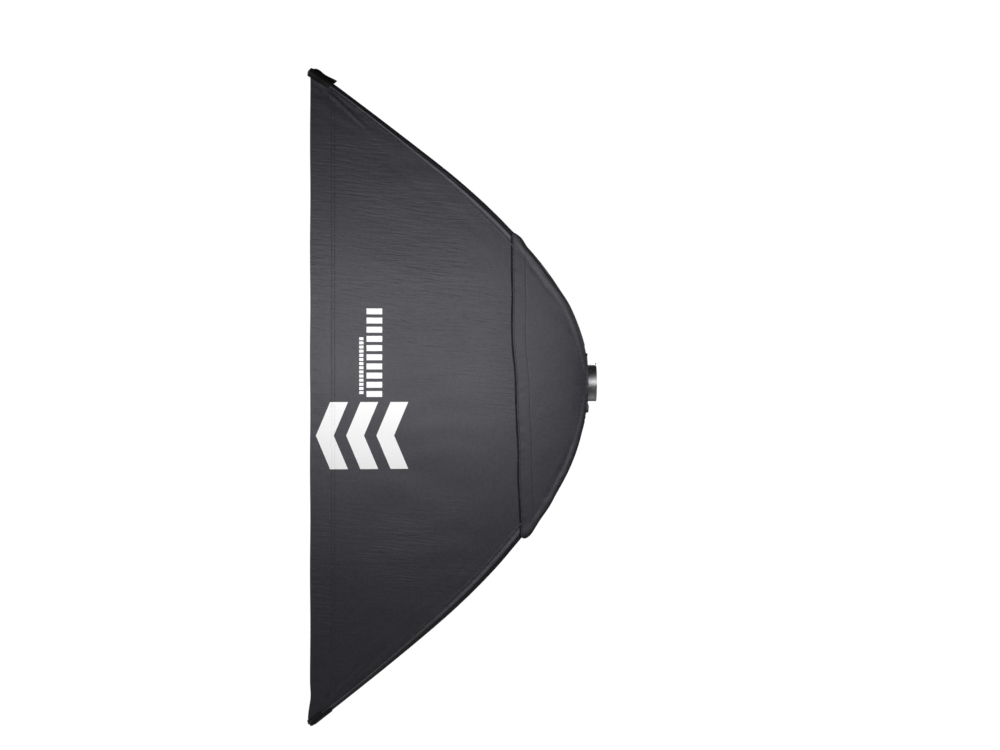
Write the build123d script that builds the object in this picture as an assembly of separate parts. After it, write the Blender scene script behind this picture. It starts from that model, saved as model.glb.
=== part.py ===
from build123d import *
import math
import os

# A strip softbox: a cloth box on four bent spring rods, plugged into a ring that turns on a strobe bayonet.
# Millimetres. +Z is up, +Y runs back towards the strobe, and light leaves towards -Y.
# The origin is on the bayonet's axis, in the plane of the strobe's face. Right is +X.

# Driving dimensions of the cloth box
front_height = 1800.0
front_width = 400.0
front_droop = 39.0        # how far the front hangs below the bayonet's axis, on its bent rods
front_y = -792.0          # plane of the open front edge
rear_y = -20.0            # rear edge of the cloth
rear_half_width = 81.0
rear_half_height = 82.0
cloth = 1.5               # thickness of the lined cloth
gap = 0.3                 # air between layers that are not one piece
clear = 0.7               # air between a panel's edge and a rod sleeve

# The rods' bend: the angle from the light's axis falls from root to tip, fast at first
root_angle = 79.4
tip_angle = 37.2
bend_power = 3.2

# Rods and what holds them
rod_radius = 2.5
rod_root_x = 73.0
rod_start = 0.02          # where the rods join the box's curve, from 0 at the ring to 1 at the front
rod_end_y = -777.0        # where they stop, inside their pockets
easing = 12.0             # tangent length of the bend between a socket and that curve
sleeve_radius = 4.5
sleeve_bore = 2.9
ferrule_radius = 3.0
ferrule_length = 26.0
socket_radius = 4.5
socket_depth = 28.0
boss_radius = 6.5
tip_radius = 3.5
tip_grip = 10.0
pocket_radius = 5.0
pocket_length = 34.0
pocket_reach = 8.0        # how far a pocket goes past its rod's end

# Bayonet adapter and turning ring
bore_radius = 49.0
neck_radius = 52.0
neck_front = -37.0
neck_rear = 9.0
flange_radius = 64.0
flange_rear = -33.0
lug_radius = 58.0
lug_front = 5.0
lug_rear = 8.5
lug_width = 36.0
lug_count = 3
catch_radius = 3.0
ring_radius = 68.0
ring_front = -32.0
ring_rear = -18.0
ring_chamfer = 1.5
arm_width = 24.0
arm_inset = 1.0
retainer_radius = 71.0
retainer_front = -41.0
retainer_plate = 2.5
screw_circle = 67.5
screw_radius = 1.5
screw_head = 2.8
screw_head_height = 2.2
screw_length = 15.0
running = 0.05            # radial clearance of a turning fit
snug = 0.02               # radial clearance of a pressed-in piece

# Cloth collar behind the ring
collar_half = 79.0
collar_corner = 16.0
collar_hole = 54.0
collar_front = -17.7
collar_rear = -15.2

# Access flaps at the rear of the long sides, and the tapes that close them
panel_rear_y = -178.0
flap_front_y = -221.0
flap_slant = 1.7          # degrees that the flap's free edge leans
tape = 0.8
tape_width = 28.0
flap_low = 2 * tape + gap
flap_thick = 1.5

# Diffuser, its lip and its tapes
diffuser_y = -728.0
diffuser_thick = 1.0
diffuser_corner = 16.0
lip_tape = 30.0
tab_width = 20.0
tab_length = 34.0

# Inner baffle and its straps
baffle_y = -430.0
baffle_half_width = 118.0
baffle_top = 500.0
baffle_bottom = -545.0
baffle_corner = 12.0
strap_width = 18.0
strap_thick = 1.2
strap_margin = 14.0
snap_radius = 6.0
snap_height = 2.5

# Webbing tabs that close the front corners, measured along and across the rod's end
webbing = 2.0
webbing_width = 28.0
webbing_proud = 5.5       # above the rod's centre line
webbing_lift = 1.6        # air between a pocket's top and its tab, which also has to clear the side panel
webbing_back = 62.0
webbing_front = 8.0

front_top = front_height / 2 - front_droop
front_bottom = front_height / 2 + front_droop
half_width = front_width / 2
wide = 1200.0             # half the size of a cutting block
sides = {"left": -1, "right": 1}
ends = {"upper": 1, "lower": -1}


def put(shape, name):
    """Writes one sub-part."""
    os.makedirs("parts", exist_ok=True)
    export_step(shape, f"parts/{name}.step")


# --- The box's curve ---

def lean(t):
    """The rods' angle from the light's axis, t being 0 at the ring and 1 at the front."""
    return math.radians(tip_angle + (root_angle - tip_angle) * max(0.0, 1 - t) ** bend_power)


def travel(t, steps=160):
    """How far forward and how far out a rod of unit length has gone at t, by the midpoint rule."""
    middles = [(i + 0.5) * t / steps for i in range(steps)]
    return sum(math.cos(lean(m)) for m in middles) * t / steps, sum(math.sin(lean(m)) for m in middles) * t / steps


full_forward, full_out = travel(1.0)


def place_at(y):
    """The t at which the box's curve reaches a given y, by halving."""
    low, high = 0.0, 1.05
    for _ in range(40):
        middle = (low + high) / 2
        if rear_y + (front_y - rear_y) * travel(middle)[0] / full_forward > y:
            low = middle
        else:
            high = middle
    return low


def node_at(root, tip, t):
    """Place and unit tangent (y, s, dy, ds) on the curve whose s grows from root at the ring to tip at the front."""
    forward, out = travel(t)
    dy = (front_y - rear_y) * math.cos(lean(t)) / full_forward
    ds = (tip - root) * math.sin(lean(t)) / full_out
    size = math.hypot(dy, ds)
    y = rear_y + (front_y - rear_y) * forward / full_forward
    return y, root + (tip - root) * out / full_out, dy / size, ds / size


def profile(root, tip, start=0.0, stop=1.03, spans=8):
    return [node_at(root, tip, start + (stop - start) * (i / spans) ** 1.5) for i in range(spans + 1)]


def width_at(y):
    return node_at(rear_half_width, half_width, place_at(y))[1]


def height_at(y, end):
    return node_at(rear_half_height, tip_height(end), place_at(y))[1]


def tip_height(end):
    return front_top if end > 0 else front_bottom


def shifted(nodes, distance):
    """The same curve, moved outwards along its normal."""
    return [(y + ds * distance, s - dy * distance, dy, ds) for y, s, dy, ds in nodes]


def flipped(nodes):
    return [(y, -s, dy, -ds) for y, s, dy, ds in nodes]


def in_plan(y, s):
    return Vector(s, y, 0)


def in_elevation(y, s):
    return Vector(0, y, s)


def smooth(nodes, place):
    """One spline through the nodes."""
    return Spline(*[place(y, s) for y, s, _, _ in nodes])


def arcs(nodes, place):
    """Pairs of tangent arcs through the nodes, for a rod's path."""
    made = []
    for (py, ps, ay, az), (qy, qs, by, bz) in zip(nodes, nodes[1:]):
        vy, vs = qy - py, qs - ps
        turn = 2 * (1 - ay * by - az * bz)
        along = vy * (ay + by) + vs * (az + bz)
        reach = (-along + math.sqrt(along ** 2 + turn * (vy ** 2 + vs ** 2))) / turn
        joint = ((py + reach * ay + qy - reach * by) / 2, (ps + reach * az + qs - reach * bz) / 2)
        half_way = (qy - reach * by - py - reach * ay, qs - reach * bz - ps - reach * az)
        for start, stop, way in (((py, ps), joint, (ay, az)), (joint, (qy, qs), half_way)):
            base = place(*start)
            heading = place(start[0] + way[0], start[1] + way[1]) - base
            made.append(TangentArc(base, place(*stop), tangent=heading))
    return made


def between(first, second, place, direction):
    """Everything between two profiles, running far both ways along direction."""
    edges = [smooth(first, place), smooth(second, place)]
    edges += [Line(place(*first[k][:2]), place(*second[k][:2])) for k in (0, -1)]
    return extrude(Location(direction * -wide) * make_face(edges), 2 * wide, dir=direction)


def side_layer(low, high, start=0.0):
    """A sheet that follows the right side's plan curve, between two offsets of it."""
    nodes = profile(rear_half_width, half_width, start)
    return between(shifted(nodes, low), shifted(nodes, high), in_plan, Vector(0, 0, 1))


def end_layer(low, high, end):
    """A sheet that follows the top's or the bottom's curve, both built as if on top."""
    nodes = profile(rear_half_height, tip_height(end))
    return between(shifted(nodes, low), shifted(nodes, high), in_elevation, Vector(1, 0, 0))


def side_window(inset):
    """The side view of the box, inset from its outline."""
    upper = shifted(profile(rear_half_height, front_top), -inset)
    lower = flipped(shifted(profile(rear_half_height, front_bottom), -inset))
    return between(upper, lower, in_elevation, Vector(1, 0, 0))


def plan_window(inset):
    """The plan of the box, inset from the line of its rods."""
    right = shifted(profile(rod_root_x, half_width - sleeve_radius), -inset)
    return between(right, flipped(right), in_plan, Vector(0, 0, 1))


def slab(y_low, y_high):
    """Everything between two planes across the light's axis."""
    return Pos(0, (y_low + y_high) / 2, 0) * Box(2 * wide, y_high - y_low, 2 * wide)


def placed(shape, side, end=1):
    """Turns a shape made for the upper right corner to its own side and end."""
    if side < 0:
        shape = mirror(shape, about=Plane.YZ)
    return shape if end > 0 else mirror(shape, about=Plane.XY)


def bar(base, way, length, radius):
    return extrude(Plane(origin=base, z_dir=way) * Circle(radius), length)


def sleeve_of(base, way, length, outer, inner):
    """A straight round tube, open at both ends."""
    return bar(base, way, length, outer) - bar(base - way, way, length + 2, inner)


def hoop(outer, inner, low, high):
    """A flat ring on the light's axis."""
    return extrude(Plane(origin=(0, low, 0), z_dir=(0, 1, 0)) * (Circle(outer) - Circle(inner)), high - low)


def along_axis(x, z, y_low, y_high, radius):
    """A round bar parallel to the light's axis."""
    return bar(Vector(x, y_low, z), Vector(0, 1, 0), y_high - y_low, radius)


# --- Rods: their line, and the way their sockets point ---

def rod_line(end):
    """The upper right rod's nodes in its own leaning plane, and the map from that plane into the box."""
    nodes = profile(rear_half_height, tip_height(end), rod_start, place_at(rod_end_y), 6)
    nodes = shifted(nodes, -sleeve_radius)
    spread = (half_width - sleeve_radius - rod_root_x) / (tip_height(end) - rear_half_height)
    stretch = math.hypot(1, spread)
    flat = []
    for y, s, dy, ds in nodes:
        size = math.hypot(dy, ds * stretch)
        flat.append((y, s * stretch, dy / size, ds * stretch / size))

    def place(y, u):
        return Vector(rod_root_x + spread * (u / stretch - rear_half_height), y, u / stretch)

    return flat, place


def rod_heading(end, k):
    """A rod's place and direction at its first node (k = 0) or its last (k = -1)."""
    flat, place = rod_line(end)
    y, u, dy, du = flat[k]
    base = place(y, u)
    return base, (place(y + dy, u + du) - base).normalized()


def socket_mouth(end):
    """The middle of a socket's mouth and the way out of it, square to the light's axis."""
    start, way = rod_heading(end, 0)
    out = Vector(way.X, 0, way.Z).normalized()
    return start - (way + out) * easing, out


def tip_frame(end):
    """A frame at a rod's end: x along the rod, z out of the side of the box."""
    tip, way = rod_heading(end, -1)
    _, _, dy, ds = node_at(rear_half_width, half_width, place_at(rod_end_y))
    outward = Vector(-dy, ds, 0)
    return Plane(origin=tip, x_dir=way, z_dir=(outward - way * way.dot(outward)).normalized())


# --- Mount ---

def bayonet_adapter():
    neck = hoop(neck_radius, bore_radius, neck_front, neck_rear)
    flange = hoop(flange_radius, bore_radius, neck_front, flange_rear)
    lugs = hoop(lug_radius, neck_radius - 1, lug_front, lug_rear)
    wedge = Pos(0, 0, lug_radius) * Box(lug_width, 2 * lug_radius, lug_radius)
    wedges = [Rot(0, k * 360 / lug_count, 0) * wedge for k in range(lug_count)]
    body = neck + flange
    for wedge in wedges:
        body += lugs & wedge
    return body - along_axis(0, lug_radius, lug_front - 1, lug_rear + 1, catch_radius)


def screw_places():
    """Where the retainer's screws stand, half way between the arms."""
    angles = [math.radians(90 * k) for k in range(4)]
    return [(screw_circle * math.cos(a), screw_circle * math.sin(a)) for a in angles]


def bored(body, y_low, y_high, radius):
    for x, z in screw_places():
        body -= along_axis(x, z, y_low, y_high, radius)
    return body


def speed_ring():
    """The turning ring with four arms, each ending in a boss for a rod's socket."""
    body = hoop(ring_radius + 2 * ring_chamfer, neck_radius + 2 * running, ring_front, ring_rear)
    body = chamfer(body.edges().filter_by(GeomType.CIRCLE).group_by(Axis.Y)[-1], ring_chamfer)
    holes = []
    for side in sides.values():
        for name, end in ends.items():
            mouth, out = socket_mouth(end)
            middle = mouth - out * (socket_depth / 2)
            reach = math.hypot(middle.X, middle.Z) + boss_radius / 2
            depth = ring_rear - ring_front - 2 * arm_inset
            arm = Box(reach - ring_radius + arm_width / 4, depth, arm_width)
            arm = fillet(arm.edges().filter_by(Axis.Y), arm_width / 6)
            arm = Pos((ring_radius + reach) / 2 - arm_width / 8, (ring_front + ring_rear) / 2, 0) * arm
            arm = Rot(0, -math.degrees(math.atan2(middle.Z, middle.X)), 0) * arm
            boss = bar(mouth - out, -out, socket_depth + 2, boss_radius)
            body += placed(arm, side, end)
            body += placed(boss, side, end)
            holes.append(placed(bar(mouth, -out, socket_depth, socket_radius + snug), side, end))
    for hole in holes:
        body -= hole
    return bored(body, ring_front - 1, ring_front + screw_length, screw_radius + snug)


def glide_washer():
    return hoop(flange_radius, neck_radius + 1, flange_rear + running, ring_front)


def ring_retainer():
    """The cover that keeps the adapter's flange against the turning ring."""
    plate = hoop(retainer_radius, bore_radius + 1.5, retainer_front, retainer_front + retainer_plate)
    skirt = hoop(retainer_radius, flange_radius + gap, retainer_front + retainer_plate, ring_front)
    return bored(plate + skirt, retainer_front - 1, ring_front + 1, screw_radius + snug)


def retainer_screws():
    screws = []
    for x, z in screw_places():
        shank = along_axis(x, z, retainer_front, retainer_front + screw_length, screw_radius)
        head = along_axis(x, z, retainer_front - screw_head_height, retainer_front, screw_head)
        slot = Pos(x, retainer_front - screw_head_height, z) * Box(1.4 * screw_head, screw_head / 2, screw_head / 4)
        screws.append(shank + head - slot)
    return Compound(screws)


# --- Rods and their fittings, for the upper right corner ---

def rod_path(end):
    flat, place = rod_line(end)
    mouth, out = socket_mouth(end)
    start = place(*flat[0][:2])
    seat = mouth - out * (socket_depth - 1)
    return Wire([Line(seat, mouth), TangentArc(mouth, start, tangent=out)] + arcs(flat, place))


def spring_rod(end):
    path = rod_path(end)
    return sweep(Plane(origin=path @ 0, z_dir=path % 0) * Circle(rod_radius), path=path)


def rod_sleeve(end):
    """The sewn tunnel that a rod runs in, from the ring to its pocket."""
    flat, place = rod_line(end)
    path = Wire(arcs(flat, place))
    start = Plane(origin=path @ 0, z_dir=path % 0)
    tunnel = sweep(start * Circle(sleeve_radius), path=path) - sweep(start * Circle(sleeve_bore), path=path)
    tip, way = rod_heading(end, -1)
    return tunnel - bar(tip - way * (pocket_length - pocket_reach + gap), way, 2 * pocket_length, 2 * pocket_radius)


def rod_ferrule(end):
    mouth, out = socket_mouth(end)
    return sleeve_of(mouth - out * (socket_depth - 1), out, ferrule_length, ferrule_radius, rod_radius + snug)


def rod_socket(end):
    mouth, out = socket_mouth(end)
    return sleeve_of(mouth - out * socket_depth, out, socket_depth, socket_radius, ferrule_radius + running)


def rod_tip(end):
    """The moulded cap on a rod's outer end."""
    tip, way = rod_heading(end, -1)
    cap = bar(tip - way * tip_grip, way, tip_grip + 2, tip_radius) + Pos(tip + way * 2) * Sphere(tip_radius)
    return cap - bar(tip - way * (tip_grip + 1), way, tip_grip + 1, rod_radius + snug)


def corner_pocket(end):
    """The closed tunnel that takes a rod's end at a front corner."""
    tip, way = rod_heading(end, -1)
    base = tip - way * (pocket_length - pocket_reach)
    return bar(base, way, pocket_length, pocket_radius) - bar(base - way, way, pocket_length - 1, tip_radius + gap)


def corner_tab(end):
    """The webbing tab that is pressed down over a corner's pocket."""
    low = pocket_radius + webbing_lift
    leaf = Box(webbing_back + webbing_front, webbing_width, webbing)
    leaf = fillet(leaf.edges().filter_by(Axis.Z), 2 * webbing)
    middle = ((webbing_front - webbing_back) / 2, webbing_width / 2 - webbing_proud, low + webbing / 2)
    return tip_frame(end).location * Pos(*middle) * leaf


# --- Cloth shell, for the right side and for the top ---

def side_panel():
    return side_layer(-cloth, 0) & side_window(2 * sleeve_radius + clear) & slab(front_y, panel_rear_y)


def end_panel(end):
    return end_layer(-cloth, 0, end) & plan_window(sleeve_radius + clear) & slab(front_y, rear_y)


def rear_collar():
    face = RectangleRounded(2 * collar_half, 2 * collar_half, collar_corner) - Circle(collar_hole)
    return extrude(Plane(origin=(0, collar_front, 0), z_dir=(0, 1, 0)) * face, collar_rear - collar_front)


def behind_flap_edge(y):
    """Everything behind the leaning line of a flap's free edge, or of a line beside it."""
    return Pos(0, y, 0) * Rot(flap_slant, 0, 0) * Pos(0, wide, 0) * Box(2 * wide, 2 * wide, 4 * wide)


def access_flap():
    leaf = side_layer(flap_low, flap_low + flap_thick) & side_window(clear)
    return leaf & slab(flap_front_y - wide, rear_y + 2 * cloth) & behind_flap_edge(flap_front_y)


def flap_tape(low):
    """A strip of hook or loop tape along a flap's free edge."""
    strip = side_layer(low, low + tape) & side_window(2 * sleeve_radius + clear)
    return (strip & behind_flap_edge(flap_front_y + 2)) - behind_flap_edge(flap_front_y + 2 + tape_width)


def lip_tapes(depth, y_low, y_high):
    """Four strips of tape round the inside of the lip, depth below the cloth's outside."""
    limits = slab(y_low, y_high)
    inside = side_window(2 * sleeve_radius + clear + 2)
    across = plan_window(sleeve_radius + clear + 2)
    side_strip = side_layer(-depth - tape, -depth) & inside & limits
    strips = [side_strip, placed(side_strip, -1)]
    strips += [placed(end_layer(-depth - tape, -depth, end) & across & limits, 1, end) for end in ends.values()]
    return strips


def diffuser_sheet():
    """The front diffuser's cloth, cut to the box's opening and rounded past the rod sleeves."""
    margin = cloth + 2 * tape + 2 * gap + 1
    top, bottom = height_at(diffuser_y, 1) - margin - 1, -height_at(diffuser_y, -1) + margin + 1
    face = RectangleRounded(2 * (width_at(diffuser_y) - margin), top - bottom, diffuser_corner)
    plane = Plane(origin=(0, diffuser_y, (top + bottom) / 2), x_dir=(1, 0, 0), z_dir=(0, 1, 0))
    return extrude(plane * face, diffuser_thick)


def pull_tab():
    """The ribbon that lifts the diffuser off, at the middle of its lower edge."""
    floor = -height_at(diffuser_y, -1) + cloth + 2 * tape + 2 * gap + 2
    return Pos(0, diffuser_y - tab_length / 2, floor + 1) * Box(tab_width, tab_length, 1)


def baffle_sheet():
    face = RectangleRounded(2 * baffle_half_width, baffle_top - baffle_bottom, baffle_corner)
    plane = Plane(origin=(0, baffle_y, (baffle_top + baffle_bottom) / 2), x_dir=(1, 0, 0), z_dir=(0, 1, 0))
    return extrude(plane * face, 1)


def strap_ends():
    """Where each baffle strap starts on the baffle and ends at the cloth, as (x, z) pairs."""
    wall = width_at(baffle_y) - cloth
    found = []
    for side in sides.values():
        for end, edge in ((1, baffle_top), (-1, baffle_bottom)):
            corner = (side * (baffle_half_width - strap_margin), edge - end * strap_margin)
            seam = (side * (wall - strap_margin), end * (height_at(baffle_y, end) - cloth - strap_margin))
            found.append((corner, seam))
        found.append(((side * (baffle_half_width - strap_margin), 0), (side * (wall - gap), 0)))
    return found


def baffle_straps():
    """Six short straps that hold the baffle in the middle of the box."""
    straps = []
    for (ax, az), (bx, bz) in strap_ends():
        length = math.hypot(bx - ax, bz - az) + strap_margin
        strap = Pos(length / 2 - strap_margin / 2, 0, 0) * Box(length, strap_thick, strap_width)
        turned = Rot(0, -math.degrees(math.atan2(bz - az, bx - ax)), 0) * strap
        straps.append(Pos(ax, baffle_y - strap_thick / 2 - gap / 10, az) * turned)
    inside = side_window(cloth + clear) & plan_window(-clear) & slab(baffle_y - 9, baffle_y + 9)
    return Compound([strap & inside for strap in straps])


def baffle_snaps():
    """A press stud through each strap and the baffle's corner."""
    low = baffle_y - strap_thick - gap / 10 - snap_height
    studs = []
    for (x, z), _ in strap_ends():
        studs.append(along_axis(x, z, low, low + snap_height, snap_radius))
    return Compound(studs)


# --- Writing every sub-part ---

put(bayonet_adapter(), "bayonet_adapter")
put(speed_ring(), "speed_ring")
put(glide_washer(), "glide_washer")
put(ring_retainer(), "ring_retainer")
put(retainer_screws(), "retainer_screws")
put(rear_collar(), "rear_collar")

cloth_side, flap = side_panel(), access_flap()
hooks, loops = flap_tape(0), flap_tape(tape + gap)
for side_name, side in sides.items():
    put(placed(cloth_side, side), f"side_panel_{side_name}")
    put(placed(flap, side), f"flap_{side_name}")
    put(placed(hooks, side), f"flap_hook_tape_{side_name}")
    put(placed(loops, side), f"flap_loop_tape_{side_name}")

fittings = [spring_rod, rod_sleeve, rod_ferrule, rod_socket, rod_tip, corner_pocket, corner_tab]
for end_name, end in ends.items():
    put(placed(end_panel(end), 1, end), f"end_panel_{end_name}")
    for fitting in fittings:
        piece = fitting(end)
        for side_name, side in sides.items():
            put(placed(piece, side, end), f"{fitting.__name__}_{end_name}_{side_name}")

put(Compound(lip_tapes(cloth, diffuser_y - lip_tape, diffuser_y)), "lip_hook_tapes")
put(Compound(lip_tapes(cloth + tape + gap, diffuser_y - lip_tape, diffuser_y)), "diffuser_loop_tapes")
put(diffuser_sheet(), "diffuser_sheet")
put(pull_tab(), "diffuser_pull_tab")
put(baffle_sheet(), "baffle_sheet")
put(baffle_straps(), "baffle_straps")
put(baffle_snaps(), "baffle_snaps")
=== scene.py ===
import bpy
import numpy as np
from math import cos, hypot, pi, radians, sin, tan
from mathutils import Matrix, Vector


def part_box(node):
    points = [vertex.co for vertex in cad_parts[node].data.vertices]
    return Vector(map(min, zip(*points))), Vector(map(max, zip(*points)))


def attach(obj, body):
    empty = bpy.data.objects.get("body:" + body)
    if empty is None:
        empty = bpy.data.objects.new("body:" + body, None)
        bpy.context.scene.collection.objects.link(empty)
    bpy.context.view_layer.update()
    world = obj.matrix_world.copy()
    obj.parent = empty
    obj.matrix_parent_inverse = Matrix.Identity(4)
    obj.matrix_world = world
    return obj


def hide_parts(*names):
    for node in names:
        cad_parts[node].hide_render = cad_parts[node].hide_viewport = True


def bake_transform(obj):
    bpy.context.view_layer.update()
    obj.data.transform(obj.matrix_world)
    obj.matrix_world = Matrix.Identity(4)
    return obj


# A strip softbox: nylon shell on four bent rods, printed side, access flaps, diffuser and baffle.
# Metres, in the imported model's frame: +Z up, +Y back to the strobe, the lit front faces -Y.

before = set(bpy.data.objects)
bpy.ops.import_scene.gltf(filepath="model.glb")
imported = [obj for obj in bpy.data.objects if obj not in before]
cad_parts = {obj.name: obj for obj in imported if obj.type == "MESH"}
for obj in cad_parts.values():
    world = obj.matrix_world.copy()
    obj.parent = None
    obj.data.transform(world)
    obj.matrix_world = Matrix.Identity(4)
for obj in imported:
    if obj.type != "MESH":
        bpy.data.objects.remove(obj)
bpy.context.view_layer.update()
sides = {"right": 1, "left": -1}
ends = {"upper": 1, "lower": -1}

# Camera first: a long lens, level with the box's middle, looking at its right side
cameraSet = dict(place=(5.5, -0.2666, 0.023), lens=69.0, sensor=36.0)


def makeCamera():
    data = bpy.data.cameras.new("camera")
    data.lens = cameraSet["lens"]
    data.sensor_width = cameraSet["sensor"]
    camera = bpy.data.objects.new("camera", data)
    camera.location = cameraSet["place"]
    camera.rotation_euler = (pi / 2, 0, pi / 2)
    bpy.context.scene.collection.objects.link(camera)
    bpy.context.scene.camera = camera


makeCamera()
print("camera set")

# The box's curve, the same as the rods' bend: the angle from the light's axis falls from root to tip
box = dict(
    frontY=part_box("side_panel_right")[0].y,
    rearY=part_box("end_panel_upper")[1].y,
    topZ=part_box("end_panel_upper")[1].z,
    bottomZ=-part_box("end_panel_lower")[0].z,
    halfWidth=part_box("side_panel_right")[1].x,
    rootHalfWidth=0.081, rootHalfHeight=0.082,
    rootAngle=79.4, tipAngle=37.2, bend=3.2,
    rodRootX=0.073, rodInset=0.0045,
    panelRearY=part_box("side_panel_right")[1].y,
    diffuserY=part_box("diffuser_sheet")[1].y,
)

# How far the drawn cloth stands out past the plain curve: (depth, at the top, at the bottom)
boxStretch = [
    (-0.84, 0.0130, 0.0115), (-0.76, 0.0140, 0.0128), (-0.70, 0.0135, 0.0134), (-0.60, 0.0105, 0.0136),
    (-0.50, 0.0075, 0.0130), (-0.40, 0.0060, 0.0118), (-0.32, 0.0028, 0.0080), (-0.265, -0.0004, 0.0040),
    (-0.225, -0.0030, 0.0000), (-0.17, -0.0045, -0.0012), (-0.13, -0.0055, 0.0), (-0.095, -0.0010, 0.0),
    (-0.07, 0.0040, 0.0), (-0.04, 0.0015, 0.0), (0.02, 0.0, 0.0),
]


def bendTable():
    """Forward and outward travel along a unit rod: running sums of the cosine and sine of its lean."""
    t = np.linspace(0, 1.05, 4201)
    middle = (t[1:] + t[:-1]) / 2
    left = np.clip(1 - middle, 0, None) ** box["bend"]
    lean = np.radians(box["tipAngle"] + (box["rootAngle"] - box["tipAngle"]) * left)
    forward = np.append(0, np.cumsum(np.cos(lean)))
    outward = np.append(0, np.cumsum(np.sin(lean)))
    return t, forward / np.interp(1, t, forward), outward / np.interp(1, t, outward)


bendT, bendForward, bendOutward = bendTable()
tipHeight = {1: box["topZ"], -1: box["bottomZ"]}


def ease(low, high, value):
    """Smooth step from 0 at low to 1 at high."""
    share = np.clip((value - low) / (high - low), 0, 1)
    return share * share * (3 - 2 * share)


def bell(value, middle, width):
    return np.exp(-((value - middle) / width) ** 2)


def outwardShare(y):
    return np.interp((y - box["rearY"]) / (box["frontY"] - box["rearY"]), bendForward, bendOutward)


def widthAt(y):
    return box["rootHalfWidth"] + (box["halfWidth"] - box["rootHalfWidth"]) * outwardShare(y)


def heightAt(y, end):
    """Height of the box's outline at a depth: the plain curve and the cloth's stretch past it."""
    plain = box["rootHalfHeight"] + (tipHeight[end] - box["rootHalfHeight"]) * outwardShare(y)
    place, above, below = stretchTable
    return plain + np.interp(y, place, above if end > 0 else below)


def rodX(y):
    return box["rodRootX"] + (box["halfWidth"] - box["rodInset"] - box["rodRootX"]) * outwardShare(y)


def throughPoints(controls, share):
    """Catmull-Rom curve through rows of control values: each span blends four neighbours by cubic weights."""
    rows = np.vstack([2 * controls[0] - controls[1], controls, 2 * controls[-1] - controls[-2]])
    place = np.clip(share, 0, 1) * (len(controls) - 1)
    k = np.minimum(place.astype(int), len(controls) - 2)
    f = (place - k)[:, None]
    a, b, c, d = (rows[k + i] for i in range(4))
    return 0.5 * (2 * b + (c - a) * f + (2 * a - 5 * b + 4 * c - d) * f**2 + (3 * b - a - 3 * c + d) * f**3)


def profileTable(controls):
    """A smooth table of (place, value) for np.interp from a few control pairs."""
    return throughPoints(np.array(controls, float), np.linspace(0, 1, 400)).T


stretchTable = profileTable(boxStretch)


def folds(a, b, seed, longest, shortest, heading=0.0, fan=0.5, count=11):
    """Cloth folds: cosine waves of falling length and height, with seeded headings and phases."""
    dice = np.random.default_rng(seed)
    total = np.zeros(np.broadcast(a, b).shape)
    weight = 0
    for length in np.geomspace(longest, shortest, count):
        turn = heading + dice.uniform(-fan, fan)
        phase = dice.uniform(0, 2 * pi)
        height = (length / longest) ** 0.7
        wander = 0.9 * np.sin(2 * pi * (b * cos(turn) - a * sin(turn)) / (length * 2.7) + 2 * phase)
        total += height * np.cos(2 * pi * (a * cos(turn) + b * sin(turn)) / length + phase + wander)
        weight += height
    return total / weight * 2


def onSide(grid, side, end=1):
    """A grid made for the upper right corner, put at its own side and end, with its faces still outwards."""
    placed = grid * np.array([side, 1, end], float) if grid.shape[-1] == 3 else grid.copy()
    return placed[:, ::-1] if side * end < 0 else placed


def normalsOf(grid, wrap=False):
    """Unit normals of a grid: the cross product of its slopes along the rows and along the columns."""
    down = np.gradient(grid, axis=0)
    if wrap:
        across = (np.roll(grid, -1, axis=1) - np.roll(grid, 1, axis=1)) / 2
    else:
        across = np.gradient(grid, axis=1)
    normal = np.cross(down, across)
    return normal / np.maximum(np.linalg.norm(normal, axis=-1, keepdims=True), 1e-12)


def gridFaces(index, wrap=False):
    """Four-sided faces of a grid of vertex numbers, facing along rows x columns."""
    if wrap:
        index = np.concatenate([index, index[:, :1]], axis=1)
    corners = [index[:-1, :-1], index[1:, :-1], index[1:, 1:], index[:-1, 1:]]
    return np.stack(corners, axis=-1).reshape(-1, 4)


def makeMesh(name, points, faces, uvs, kinds, materials):
    """Puts whole arrays into a mesh: places, face corners, cloth coordinates and material numbers."""
    mesh = bpy.data.meshes.new(name)
    mesh.vertices.add(len(points))
    mesh.vertices.foreach_set("co", points.astype(np.float32).ravel())
    mesh.loops.add(faces.size)
    mesh.loops.foreach_set("vertex_index", faces.astype(np.int32).ravel())
    mesh.polygons.add(len(faces))
    mesh.polygons.foreach_set("loop_start", np.arange(0, faces.size, 4, dtype=np.int32))
    mesh.polygons.foreach_set("material_index", kinds.astype(np.int32))
    mesh.polygons.foreach_set("use_smooth", np.ones(len(faces), bool))
    layer = mesh.uv_layers.new(name="cloth")
    layer.data.foreach_set("uv", uvs[faces.ravel()].astype(np.float32).ravel())
    mesh.update(calc_edges=True)
    mesh.validate()
    for material in materials:
        mesh.materials.append(material)
    piece = bpy.data.objects.new(name, mesh)
    bpy.context.scene.collection.objects.link(piece)
    return piece


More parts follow.
